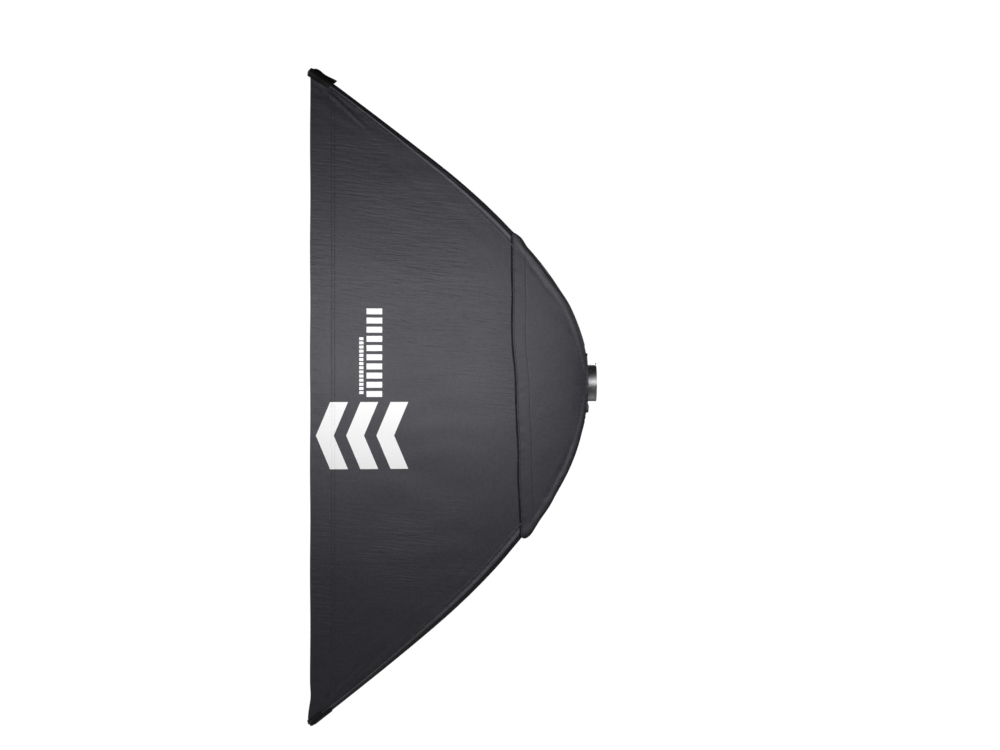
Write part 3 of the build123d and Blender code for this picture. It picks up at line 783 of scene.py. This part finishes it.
def endPanelGrid(end):
    p = endPanel
    share = np.linspace(0, 1, p["rows"])[:, None] * np.ones((1, p["cols"]))
    t = (1 - share) * np.interp(1, bendForward, bendT) + share * 0.0
    y = box["rearY"] + (box["frontY"] - box["rearY"]) * np.interp(t, bendT, bendForward)
    v = np.linspace(-1, 1, p["cols"])[None, :]
    x = v * (rodX(y) - p["edgeInset"])
    seed = 71 if end > 0 else 83
    free = ease(box["diffuserY"] + 0.02, box["diffuserY"] + 0.12, y) * ease(-0.035, -0.16, y)
    behind = y - box["frontY"]
    z = heightAt(y, end) - 0.0002 - p["sag"] * free * (1 - v**2)
    z += p["folds"] * free * folds(y, x, seed, 0.4, 0.05, heading=0.2, fan=0.5) * (1 - v**4)
    z -= 0.0004 * bell(behind, p["hem"], 0.0016)
    z -= 0.0024 * (1 - np.sqrt(1 - np.clip(1 - behind / 0.0032, 0, 1) ** 2 * 0.98))
    run = np.concatenate([[0], np.cumsum(np.hypot(np.diff(y[:, 0]), np.diff(z[:, 0])))])[:, None]
    uv = np.stack([run * np.ones_like(y), x + 0.3], axis=-1)
    return onSide(np.stack([x, y, z], axis=-1)[:, ::-1], 1, end), onSide(uv[:, ::-1], 1, end)


def makeEndPanels():
    for name, end in ends.items():
        outer, uv = endPanelGrid(end)
        lipped = outer[..., 1] < box["diffuserY"] - 0.004
        piece = shell(
            "endPanel" + name.title(), outer, uv, endPanel["thickness"],
            [looks["end"], looks["lining"], looks["lip"]], innerKinds=np.where(lipped, 2, 1))
        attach(piece, "box")
        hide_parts(f"end_panel_{name}")


makeEndPanels()
print("end panels made")

# --- Rod sleeves, each a strip of cloth sewn round its rod and down to the side panel ---

sleeve = dict(
    stations=400, across=36, thickness=0.0006, startT=0.022, rodEndY=-0.777, beyond=0.0145,
    ridgeFront=0.0032, ridgeRear=0.0016, wave=0.0007, wideFront=0.66, wideRear=1.22, shadeTo=0.0062,
    pucker=0.0005,
)

# Across a sleeve: (in from the rod towards the middle of the side, out of the side, share of the step up to
# the panel, share of the ridge)
sleeveSection = [
    (-0.0044, -0.0190, 0.0, 0.0), (-0.0051, -0.0120, 0.0, 0.0), (-0.0055, -0.0060, 0.0, 0.0),
    (-0.0056, -0.0016, 0.10, 0.0), (-0.0052, 0.0, 0.40, 0.0), (-0.0038, 0.0002, 0.66, 0.06),
    (0.0000, 0.0, 0.86, 0.26), (0.0045, 0.0, 1.0, 0.62), (0.0085, 0.0, 1.0, 1.0),
    (0.0115, 0.0, 1.0, 0.80), (0.0138, 0.0002, 1.0, 0.36), (0.0155, 0.0001, 1.0, 0.06),
    (0.0172, 0.0007, 1.0, 0.10), (0.0205, 0.0007, 1.0, 0.0), (0.0218, 0.0001, 1.0, 0.0),
]


def sleeveFrames(end):
    """Centre line and its frame: forward along the rod, out of the side, and in towards the side's middle."""
    p = sleeve
    endT = np.interp((p["rodEndY"] - box["rearY"]) / (box["frontY"] - box["rearY"]), bendForward, bendT)
    t = np.linspace(p["startT"], endT, p["stations"] - 12)
    y = box["rearY"] + (box["frontY"] - box["rearY"]) * np.interp(t, bendT, bendForward)
    z = heightAt(y, end)
    slope = np.stack([np.gradient(y), np.gradient(z)], axis=-1)
    slope /= np.linalg.norm(slope, axis=-1, keepdims=True)
    inset = box["rodInset"]
    points = np.stack([rodX(y), y - slope[:, 1] * inset, z + slope[:, 0] * inset], axis=-1)
    way = points[-1] - points[-2]
    way /= np.linalg.norm(way)
    tail = points[-1] + way * (np.arange(1, 13)[:, None] / 12 * p["beyond"])
    points = np.concatenate([points, tail])
    along = np.gradient(points, axis=0)
    along /= np.linalg.norm(along, axis=-1, keepdims=True)
    lean = (widthAt(points[:, 1] + 0.001) - widthAt(points[:, 1] - 0.001)) / 0.002
    out = np.stack([np.ones_like(lean), -lean, np.zeros_like(lean)], axis=-1)
    out -= along * np.sum(out * along, axis=-1, keepdims=True)
    out /= np.linalg.norm(out, axis=-1, keepdims=True)
    return points, along, out, np.cross(out, along)


def sleeveGrid(end, seed, first=0):
    p = sleeve
    points, _, out, inward = (a[first:] for a in sleeveFrames(end))
    section = throughPoints(np.array(sleeveSection), np.linspace(0, 1, p["across"]))
    run = np.concatenate([[0], np.cumsum(np.linalg.norm(np.diff(points, axis=0), axis=1))])[:, None]
    y = points[:, 1:2]
    step = (widthAt(y) - points[:, 0:1]) * out[:, 0:1]
    ridge = p["ridgeRear"] + (p["ridgeFront"] - p["ridgeRear"]) * ease(-0.205, -0.26, y)
    wander = folds(run, 0 * run, seed, 0.30, 0.035, fan=0.2)
    ridge = ridge * (1 + 0.22 * wander)
    a = section[None, :, 0] + p["wave"] * wander * ease(0.012, 0.022, section[None, :, 0])
    wide = p["wideFront"] + (p["wideRear"] - p["wideFront"]) * ease(-0.70, -0.32, y)
    a = np.where(a > 0, a * wide, a)
    b = section[None, :, 1] + step * section[None, :, 2] + ridge * section[None, :, 3]
    pucker = folds(run, section[None, :, 0] * 3, seed + 1, 0.05, 0.012, fan=0.5)
    puckered = ease(0.004, 0.010, section[None, :, 0]) * ease(0.0215, 0.018, section[None, :, 0])
    b = b + p["pucker"] * pucker * puckered
    total = run[-1]
    nose = np.clip((run - total + 0.007) / 0.007, 0, 1)
    flat = 1 - 0.75 * (1 - np.sqrt(1 - nose**2 * 0.97))
    middle = step * 0.4
    b = middle + (b - middle) * flat
    a = 0.009 + (a - 0.009) * (1 - 0.10 * nose**3)
    grid = points[:, None] + inward[:, None] * a[..., None] + out[:, None] * b[..., None]
    across = np.concatenate([[0], np.cumsum(np.hypot(*np.diff(section[:, :2], axis=0).T))])
    uv = np.stack([run * np.ones_like(b), across[None, :] * np.ones_like(b)], axis=-1)
    # Faces on the roll round the rod and out to the outline take the darker nylon: painted shade where the
    # sleeve turns away from the light.
    shadedRoll = np.broadcast_to(section[None, :, 0] < p["shadeTo"], b.shape).astype(int)
    return grid, uv, shadedRoll


def makeSleeves():
    for endName, end in ends.items():
        for sideName, side in sides.items():
            seed = 100 + 10 * end + side
            grid, uv, shadedRoll = sleeveGrid(end, seed)
            shadedRoll = shadedRoll[:, ::-1] if side * end < 0 else shadedRoll
            name = "rodSleeve" + endName.title() + sideName.title()
            piece = shell(
                name, onSide(grid, side, end), onSide(uv, side, end), sleeve["thickness"],
                [looks["sleeve"], looks["edgingAndShade"]], outerKinds=shadedRoll)
            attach(piece, "box")
            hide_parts(f"rod_sleeve_{endName}_{sideName}")


makeSleeves()
print("sleeves made")

# --- Corner pockets: a second layer of cloth over each sleeve's end, closed across the rod's tip ---

pocket = dict(stations=24, lift=0.0007, thickness=0.0009)


def makePockets():
    for endName, end in ends.items():
        for sideName, side in sides.items():
            seed = 100 + 10 * end + side
            grid, uv, _ = sleeveGrid(end, seed, first=sleeve["stations"] - pocket["stations"])
            centre = grid.mean(axis=1, keepdims=True)
            away = grid - centre
            away /= np.maximum(np.linalg.norm(away, axis=-1, keepdims=True), 1e-6)
            grid = grid + away * pocket["lift"]
            closing = np.linspace(0, 1, 8)[1:, None, None]
            last = grid[-1:]
            way = grid[-1:].mean(axis=1) - grid[-2:-1].mean(axis=1)
            way /= np.linalg.norm(way)
            middle = last.mean(axis=1, keepdims=True)
            bulge = np.sin(closing * pi / 2) * 0.0022
            fold = last + (middle - last) * (1 - np.cos(closing * pi / 2)) * 0.94 + way * bulge
            grid = np.concatenate([grid, fold])
            grown = np.concatenate([uv, uv[-1:] + closing * np.array([0.006, 0.0])])
            name = "cornerPocket" + endName.title() + sideName.title()
            piece = shell(
                name, onSide(grid, side, end), onSide(grown, side, end), pocket["thickness"],
                [looks["edgingAndShade"]])
            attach(piece, "box")
            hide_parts(f"corner_pocket_{endName}_{sideName}")


makePockets()
print("corner pockets made")

# --- Corner tabs: webbing pressed down over each pocket, free at its rear end ---

cornerTab = dict(
    rows=48, cols=22, front=0.0125, back=-0.055, edge=-0.0072, thickness=0.0016, corner=0.0130,
    width={"upper": 0.027, "lower": 0.0130}, lift={"upper": 0.0085, "lower": 0.0004},
    curl={"upper": 0.0088, "lower": 0.0},
    puff={"upper": 0.0058, "lower": 0.0004}, anchor=-13,
    hinge=(0.2014, -0.7845, {"upper": 0.8507, "lower": 0.9280}),
)


# Across a tab: (in from the rod towards the side's middle, height over the panel's plane)
tabSection = [
    (-0.026, -0.0050), (-0.0100, -0.0040), (-0.0066, -0.0008), (-0.003, 0.0030), (0.001, 0.0046),
    (0.006, 0.0058), (0.0095, 0.0046), (0.013, 0.0032), (0.030, 0.0030),
]


def tabGrid(endName, end):
    """A leaf over the sleeve's end: its edge rolls round the rod, and its rear corner lifts and turns out."""
    p = cornerTab
    base, way, outwards, into = (a[cornerTab["anchor"]] for a in sleeveFrames(end))
    x = np.linspace(p["front"], p["back"], p["rows"])[:, None] * np.ones((1, p["cols"]))
    v = np.linspace(0, 1, p["cols"])[None, :]
    back = ease(0.0, 1.0, np.clip((0.004 - x) / (0.004 - p["back"]), 0, 1)) ** 1.3
    reach = np.clip(x - (p["front"] - p["corner"]), 0, p["corner"])
    rounded = p["corner"] - np.sqrt(p["corner"] ** 2 - reach**2)
    a = p["edge"] + rounded + (p["width"][endName] - rounded) * v
    a = a - p["curl"][endName] * back * (1 - 0.55 * v)
    a = a - p["puff"][endName] * bell(x, -0.006, 0.015) * (1 - v)
    step = (widthAt(base[1]) - base[0]) * outwards[0]
    cover = np.interp(a, *profileTable(tabSection))
    b = step + cover + 0.0008
    b = b + p["lift"][endName] * back * (0.35 + 0.65 * (1 - v)) + 0.0006 * np.sin(x * 130) * (1 - back)
    x = x - 0.010 * back * (1 - v) * (1 if endName == "upper" else 0.2)
    grid = base + way * x[..., None] + into * a[..., None] + outwards * b[..., None]
    uv = np.stack([x + 0.1, a + 0.1], axis=-1)
    return grid[::-1], uv[::-1]


def makeTabs():
    for endName, end in ends.items():
        for sideName, side in sides.items():
            grid, uv = tabGrid(endName, end)
            name = "cornerTab" + endName.title() + sideName.title()
            piece = shell(
                name, onSide(grid, side, end), onSide(uv, side, end), cornerTab["thickness"], [looks["tab"]])
            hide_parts(f"corner_tab_{endName}_{sideName}")
            way = Vector(sleeveFrames(end)[1][cornerTab["anchor"]] * np.array([side, 1, end]))
            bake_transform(piece)


makeTabs()
print("corner tabs made")

# --- Access flaps ---

flap = dict(
    rows=100, cols=330, frontY=-0.2195, slant=1.7, thickness=0.0013, level=0.0034, proud=0.0014,
    ear=0.012, upperEar=0.0085, seam=0.036, loose=0.0008, forwardBulge=0.0060, bulgeZ=0.15, bulgeSize=0.12,
)

# Across a flap's long edge: (distance inside the box's outline, height above the panel's cloth)
flapEdge = [
    (-0.0030, -0.0040), (-0.0012, -0.0026), (0.0008, 0.0000), (0.0035, 0.0030),
    (0.0070, 0.0046), (0.0110, 0.0050), (0.0150, 0.0047), (0.0185, 0.0041),
    (0.0215, 0.0036), (0.0260, 0.0034), (0.0400, 0.0034), (0.0600, 0.0034),
]

# The flap's lower edge hangs past the box's outline: (depth, how far)
flapHang = [
    (-0.30, 0.0), (-0.225, 0.0), (-0.208, 0.0050), (-0.192, 0.0180), (-0.178, 0.0235), (-0.154, 0.0170),
    (-0.126, 0.0160), (-0.105, 0.0115), (-0.070, 0.0125), (-0.045, 0.0095), (-0.022, 0.0), (0.0, 0.0),
]

# The flap's rear edge behind the ring, from its lower to its upper corner: (height, depth)
flapRear = [
    (-0.150, -0.0165), (-0.084, -0.0165), (-0.066, -0.0158), (-0.053, -0.0188),
    (-0.030, -0.0192), (-0.005, -0.0168),
    (0.030, -0.0180), (0.060, -0.0205), (0.072, -0.0205), (0.086, -0.0190), (0.150, -0.0180),
]


def flapGrid(side):
    p = flap
    v = np.linspace(0, 1, p["cols"])[None, :]
    v = v - 0.03 * np.sin(2 * pi * v) / (2 * pi)
    low0, high0 = (end * (heightAt(p["frontY"], end) + p["proud"]) for end in (-1, 1))
    zf = low0 + (high0 - low0) * v
    inside = np.minimum(high0 - zf, zf - low0)
    front = p["frontY"] - tan(radians(p["slant"])) * zf
    front = front - p["forwardBulge"] * bell(zf, p["bulgeZ"], p["bulgeSize"])
    front = front + 0.0010 * np.sin(zf * 31 + 1) * ease(0.0, 0.05, inside)
    corner = np.clip(p["ear"] - inside, 0, p["ear"])
    front = front + p["ear"] - np.sqrt(np.maximum(p["ear"] ** 2 - corner**2, 0))
    zr = -0.0835 + 0.167 * v
    rear = np.interp(zr, *profileTable(flapRear))
    u = np.linspace(0, 1, p["rows"])[:, None]
    u = np.where(u < 0.5, u * (0.75 + 0.5 * u), u)
    y = front + (rear - front) * u
    behind = y - front
    hang = np.interp(y, *profileTable(flapHang))
    low = -heightAt(y, -1) - p["proud"] - hang
    high = heightAt(y, 1) + p["proud"] + p["upperEar"] * bell(behind, 0.013, 0.014)
    z = low * (1 - v) + high * v
    lean = np.abs(np.gradient(heightAt(np.linspace(-0.25, 0, 251), 1), 0.001))
    tilt = 1 / np.hypot(1, np.interp(y, np.linspace(-0.25, 0, 251), lean))
    within = np.minimum(high - p["proud"] - z, z - low - p["proud"]) * tilt
    x = widthAt(y) + np.interp(within, *profileTable(flapEdge))
    seed = 21 if side > 0 else 63
    free = ease(0.0, 0.02, within - 0.024) * ease(0.030, 0.075, behind) * ease(-0.022, -0.06, y)
    x = x + p["loose"] * free * folds(y, z, seed, 0.28, 0.05, heading=pi / 2 - 0.3, fan=0.7)
    edgeFold = bell(within, 0.026, 0.007) * ease(0.02, 0.06, behind) * ease(-0.05, -0.10, y)
    x = x - 0.0009 * edgeFold * (0.6 + 0.4 * np.sin(z * 24))
    x = x - 0.00015 * bell(behind, p["seam"], 0.003) + 0.0009 * bell(behind, 0.0, 0.004)
    x = x + 0.0005 * folds(z, behind, seed + 2, 0.10, 0.02, fan=0.4) * ease(0.034, 0.006, behind)
    rimPucker = ease(0.045, 0.012, within) * ease(0.004, 0.012, within) * ease(-0.03, -0.07, y)
    ripples = folds(z * 0.8 + y * 0.5, within, seed + 4, 0.07, 0.018, heading=0.3, fan=0.5)
    x = x + 0.0009 * rimPucker * ripples
    gather = np.cos(z * 2 * pi / 0.0155 + 1.4 * np.sin(z * 60)) * ease(-0.060, -0.022, y)
    x = x + 0.0006 * gather
    uv = np.stack([behind, z + 0.6], axis=-1)
    # Faces near the outline take the darker nylon: painted shade on the flap's rim where it turns away from
    # the light.
    shadedRim = 2 * (within < 0.0050 + 0.0016 * np.sin(z * 26 + 1.5 * np.sin(z * 11))).astype(int)
    shadedRim = shadedRim[:, ::-1] if side < 0 else shadedRim
    return onSide(np.stack([x, y, z], axis=-1), side), onSide(uv, side), shadedRim


def makeFlaps():
    for name, side in sides.items():
        outer, uv, shadedRim = flapGrid(side)
        piece = shell(
            "accessFlap" + name.title(), outer, uv, flap["thickness"],
            [looks["flap"], looks["lining"], looks["edgingAndShade"]],
            innerKinds=np.ones(outer.shape[:2], int), outerKinds=shadedRim)
        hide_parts(f"flap_{name}")
        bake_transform(piece)


# A near-black strip laid on the side panel along the opening: a painted shadow of the flap's raised edge,
# seen as a narrow line before it
flapShadow = dict(rows=10, cols=300, under=0.0014, ahead=0.0056, lift=0.0004, thickness=0.0005, clear=0.0012)


def flapShadowGrid(side):
    p = flapShadow
    line = flapGrid(1)[0][0]
    high, low = line[:, 2].max() - 0.0005, line[:, 2].min() + 0.003
    z = np.linspace(low, high, p["cols"])[None, :]
    front = np.interp(z, line[:, 2], line[:, 1]) - p["ahead"] + 0.0004 * np.sin(z * 57)
    tapeFront = flap["frontY"] - tan(radians(flap["slant"])) * z + 0.002
    back = np.minimum(tapeFront - p["clear"], front + 0.020)
    share = np.linspace(0, 1, p["rows"])[:, None]
    y = front + (back - front) * share
    panel, _ = sidePanelGrid(1)
    rim = ease(0.034, 0.020, np.minimum(high - z, z - low))
    under = np.interp(z, line[:, 2], line[:, 0]) - p["under"]
    x = onPanel(panel, y, z) + p["lift"] + p["thickness"]
    x = x + (np.maximum(under, x) - x) * rim
    z = z + 0 * y
    uv = np.stack([y + 0.5, z + 1.0], axis=-1)
    return onSide(np.stack([x, y, z], axis=-1), side), onSide(uv, side)


def onPanel(panel, y, z):
    """The side panel's surface at (y, z), between its rows of shared depth and its columns."""
    depths = panelDepths(sidePanel["rows"]) + box["frontY"]
    high = heightAt(y, 1) - sidePanel["edgeInset"]
    low = -heightAt(y, -1) + sidePanel["edgeInset"]
    row = np.interp(y, depths, np.arange(len(depths)))
    col = np.clip((z - low) / (high - low), 0, 1) * (panel.shape[1] - 1)
    r = np.minimum(row.astype(int), panel.shape[0] - 2)
    c = np.minimum(col.astype(int), panel.shape[1] - 2)
    fr, fc = row - r, col - c
    x = panel[..., 0]
    low, high = (x[r, k] * (1 - fr) + x[r + 1, k] * fr for k in (c, c + 1))
    return low * (1 - fc) + high * fc


def makeFlapShadows():
    for name, side in sides.items():
        grid, uv = flapShadowGrid(side)
        piece = shell("flapEdgeShadow" + name.title(), grid, uv, flapShadow["thickness"], [looks["flapShadow"]])
        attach(piece, "box")


makeFlaps()
makeFlapShadows()
print("flaps made")

# --- Rear collar, gathered round the neck ---

collar = dict(
    turns=360, rows=26, hole=0.0535, half=0.0790, rearY=-0.0168, pleats=34, pleat=0.0004, thickness=0.0007,
    turnIn=0.0085,
)


def collarGrid():
    """Rounded-square outside, round hole: radius blends from one to the other, pleats fade outwards."""
    p = collar
    angle = np.linspace(0, 2 * pi, p["turns"], endpoint=False)[None, :]
    share = np.linspace(0, 1, p["rows"])[:, None]
    power = 9.0
    square = p["half"] / (np.abs(np.sin(angle)) ** power + np.abs(np.cos(angle)) ** power) ** (1 / power)
    pleat = np.cos(p["pleats"] * angle + 1.2 * np.sin(3 * angle) + 0.8 * np.sin(7 * angle))
    radius = p["hole"] + (square - p["hole"]) * share + 0.0004 * pleat * (1 - share)
    y = p["rearY"] + p["pleat"] * pleat * ease(1.0, 0.25, share) * ease(0.0, 0.10, share)
    y = y + 0.0006 * bell(share, 0.07, 0.05) - p["turnIn"] * ease(0.0722, 0.0800, radius)
    grid = np.stack([radius * np.sin(angle), y * np.ones_like(radius), radius * np.cos(angle)], axis=-1)
    uv = np.stack([radius - p["hole"], angle * 0.06 + 0 * radius], axis=-1)
    return grid, uv


def makeCollar():
    grid, uv = collarGrid()
    piece = shell("rearCollar", grid, uv, collar["thickness"], [looks["collar"]], wrap=True)
    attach(piece, "box")
    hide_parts("rear_collar")


makeCollar()
print("collar made")

# --- Diffuser and baffle: rounded sheets across the box ---

def sheetGrid(width, low, high, corner, y, rows, cols):
    """A flat sheet with rounded corners: each row's half width follows a quarter circle near its ends."""
    z = np.linspace(low, high, cols)[None, :]
    reach = np.clip(corner - np.minimum(z - low, high - z), 0, corner)
    half = width / 2 - corner + np.sqrt(corner**2 - reach**2)
    v = np.linspace(-1, 1, rows)[:, None]
    x = v * half
    return np.stack([x, y + 0 * x, z + 0 * x], axis=-1)


def makeDiffuser():
    low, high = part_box("diffuser_sheet")
    grid = sheetGrid(high.x - low.x, low.z, high.z, 0.016, low.y, 70, 300)
    x, z = grid[..., 0], grid[..., 2]
    inside = np.minimum(high.x - np.abs(x), np.minimum(z - low.z, high.z - z))
    free = ease(0.012, 0.06, inside)
    grid[..., 1] += 0.0022 * free * folds(z, x, 31, 0.7, 0.06, heading=0.9, fan=0.9) + 0.0025 * free
    grid[..., 1] -= 0.0005 * bell(inside, 0.006, 0.004)
    uv = np.stack([x + (high.x - low.x) / 2, z - low.z], axis=-1)
    piece = shell("frontDiffuser", grid, uv, 0.0006, [looks["diffuser"]])
    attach(piece, "diffuser")
    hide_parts("diffuser_sheet")


def makePullTab():
    """A ribbon at the diffuser's lower edge: it hangs forward and curls a little at its free end."""
    low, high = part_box("diffuser_pull_tab")
    share = np.linspace(0, 1, 30)[:, None]
    v = np.linspace(0, 1, 10)[None, :]
    y = high.y - (high.y - low.y) * share + 0 * v
    z = high.z + 0.0035 * np.sin(share * pi) + 0.004 * share**3 + 0 * v
    x = low.x + (high.x - low.x) * (v + 0.02 * np.sin(share * 7) * (1 - v)) + 0 * share
    grid = np.stack([x, y, z], axis=-1)
    uv = np.stack([share * (high.y - low.y) + 0 * v, x], axis=-1)
    piece = shell("diffuserPullTab", grid, uv, 0.0011, [looks["strap"]])
    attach(piece, "diffuser")
    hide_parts("diffuser_pull_tab")


def makeBaffle():
    low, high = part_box("baffle_sheet")
    grid = sheetGrid(high.x - low.x, low.z, high.z, 0.012, low.y, 56, 220)
    x, z = grid[..., 0], grid[..., 2]
    tall = (z - low.z) / (high.z - low.z)
    inside = np.minimum(high.x - np.abs(x), np.minimum(z - low.z, high.z - z))
    free = ease(0.012, 0.05, inside)
    scallop = 0.006 * np.sin(pi * np.abs(2 * tall - 1)) ** 2
    grid[..., 0] = x * (1 - scallop / (high.x - low.x) * 2)
    grid[..., 1] += 0.0035 * free * folds(z, x, 37, 0.5, 0.07, heading=0.5, fan=0.9)
    uv = np.stack([x + (high.x - low.x) / 2, z - low.z], axis=-1)
    piece = shell("innerBaffle", grid, uv, 0.0006, [looks["baffle"]])
    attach(piece, "box")
    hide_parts("baffle_sheet")


strap = dict(width=0.018, margin=0.014, thickness=0.0011, rows=36, cols=8, sag=0.0025)


def strapEnds():
    """Where each strap starts on the baffle and ends at the cloth, as (x, z) pairs."""
    low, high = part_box("baffle_sheet")
    m = strap["margin"]
    wall = widthAt(low.y) - 0.0015
    panel, _ = sidePanelGrid(1)
    middle = float(onPanel(panel, np.array([[low.y]]), np.array([[0.0]]))[0, 0]) - 0.0022
    found = []
    for side in sides.values():
        for end, edge in ((1, high.z), (-1, low.z)):
            reach = box["rootHalfHeight"] + (tipHeight[end] - box["rootHalfHeight"]) * outwardShare(low.y)
            seam = (side * (wall - m), end * (reach - 0.0015 - m))
            found.append(((side * (high.x - m), edge - end * m), seam))
        found.append(((side * (high.x - m), 0.0), (side * middle, 0.0)))
    return found


def makeStraps():
    s = strap
    low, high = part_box("baffle_straps")
    level = (low.y + high.y) / 2 - s["thickness"] / 2
    arrays = []
    for (ax, az), (bx, bz) in strapEnds():
        way = np.array([bx - ax, bz - az])
        length = hypot(*way)
        way = way / length
        start = np.array([ax, az]) - way * s["margin"]
        share = np.linspace(0, 1, s["rows"])[:, None]
        v = np.linspace(-0.5, 0.5, s["cols"])[None, :]
        run = share * (length + s["margin"])
        past = np.clip((run - 2 * s["margin"]) / (length - s["margin"]), 0, 1)
        y = level + s["sag"] * np.sin(past * pi) + 0.002 * v * np.sin(past * pi * 2) + 0 * v
        x = start[0] + way[0] * run - way[1] * v * s["width"]
        z = start[1] + way[1] * run + way[0] * v * s["width"]
        grid = np.stack([x, y, z], axis=-1)
        uv = np.stack([run + 0 * v, v * s["width"] + 0 * run], axis=-1)
        arrays.append(shellArrays(grid[:, ::-1], uv[:, ::-1], s["thickness"]))
    piece = joined("baffleStraps", arrays, [looks["strap"]])
    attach(piece, "box")
    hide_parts("baffle_straps")


# A press stud's half section: (radius, height)
studProfile = [
    (0.0, 0.0026), (0.0022, 0.0025), (0.0040, 0.0021), (0.0049, 0.0013), (0.0052, 0.0009),
    (0.0058, 0.0008), (0.0061, 0.0004), (0.0060, 0.0), (0.0030, 0.0), (0.0, 0.0),
]


def makeStuds():
    """Press studs turned from one profile: a low dome on a rolled rim."""
    _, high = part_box("baffle_snaps")
    angle = np.linspace(0, 2 * pi, 32, endpoint=False)[None, :]
    profile = throughPoints(np.array(studProfile), np.linspace(0, 1, 40))
    r = np.maximum(profile[:, :1], 0.00002)
    h = profile[:, 1:]
    arrays = []
    for (x, z), _ in strapEnds():
        grid = np.stack([x + r * np.cos(angle), high.y - h + 0 * angle, z + r * np.sin(angle)], axis=-1)
        index = np.arange(grid.shape[0] * grid.shape[1]).reshape(grid.shape[:2])
        faces = gridFaces(index, wrap=True)
        uv = np.stack([h + 0 * angle, angle * 0.005 + 0 * h], axis=-1).reshape(-1, 2)
        arrays.append((grid.reshape(-1, 3), faces, uv, np.zeros(len(faces), int)))
    piece = joined("pressStuds", arrays, [looks["snap"]])
    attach(piece, "box")
    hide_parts("baffle_snaps")


makeDiffuser()
makePullTab()
makeBaffle()
makeStraps()
makeStuds()
print("diffuser and baffle made")

# --- Floor, world and lights ---

studio = dict(
    floorZ=-1.35, floorY=-0.4, floorRadius=1.15, ambient=0.045,
    lights=dict(
        key=dict(place=(0.92, -0.40, 0.12), aim=(0.15, -0.42, 0.11), size=(1.30, 0.26), power=9.2),
        wide=dict(place=(4.4, -1.2, 0.8), aim=(0.1, -0.4, 0.0), size=(1.4, 1.4), power=9.0),
        far=dict(place=(-2.2, -0.6, 0.5), aim=(-0.1, -0.4, 0.0), size=(1.2, 1.2), power=42.0),
        rear=dict(place=(-1.2, 2.8, 0.9), aim=(0.0, -0.3, 0.0), size=(1.6, 1.6), power=15.0),
        front=dict(place=(-0.9, -3.6, 1.0), aim=(0.0, -0.5, 0.0), size=(1.8, 1.8), power=110.0),
    ),
)


def makeStudio():
    angle = np.linspace(0, 2 * pi, 96, endpoint=False)
    radius, z = studio["floorRadius"], studio["floorZ"]
    points = [(radius * cos(a), studio["floorY"] + radius * sin(a), z) for a in angle]
    mesh = bpy.data.meshes.new("floor")
    mesh.from_pydata(points, [], [tuple(range(96))])
    floor = bpy.data.objects.new("floor", mesh)
    bpy.context.scene.collection.objects.link(floor)
    material, tree, shader = newMaterial("paleFloor", (0.80, 0.80, 0.80), 0.7)
    grain = noise(tree, objectPlace(tree), 5.0, 4.0)
    tone = mixColours(tree, grain, (0.78, 0.78, 0.78, 1), (0.82, 0.82, 0.82, 1))
    tree.links.new(tone, shader.inputs["Base Color"])
    mesh.materials.append(material)
    world = bpy.data.worlds.new("studio")
    bpy.context.scene.world = world
    world.use_nodes = True
    tree = world.node_tree
    background = tree.nodes["Background"]
    background.inputs["Color"].default_value = (1, 1, 1, 1)
    seen = add(tree, "LightPath").outputs["Is Camera Ray"]
    strength = calc(tree, "MULTIPLY_ADD", seen, 1.02 - studio["ambient"], studio["ambient"])
    tree.links.new(strength, background.inputs["Strength"])
    for name, p in studio["lights"].items():
        data = bpy.data.lights.new(name, "AREA")
        data.shape = "RECTANGLE"
        data.size, data.size_y = p["size"]
        data.energy = p["power"]
        light = bpy.data.objects.new(name, data)
        light.location = p["place"]
        light.rotation_euler = (Vector(p["aim"]) - Vector(p["place"])).to_track_quat("-Z", "Y").to_euler()
        light.visible_camera = False
        bpy.context.scene.collection.objects.link(light)
    bpy.context.scene.view_settings.view_transform = "Standard"


makeStudio()
print("studio made")
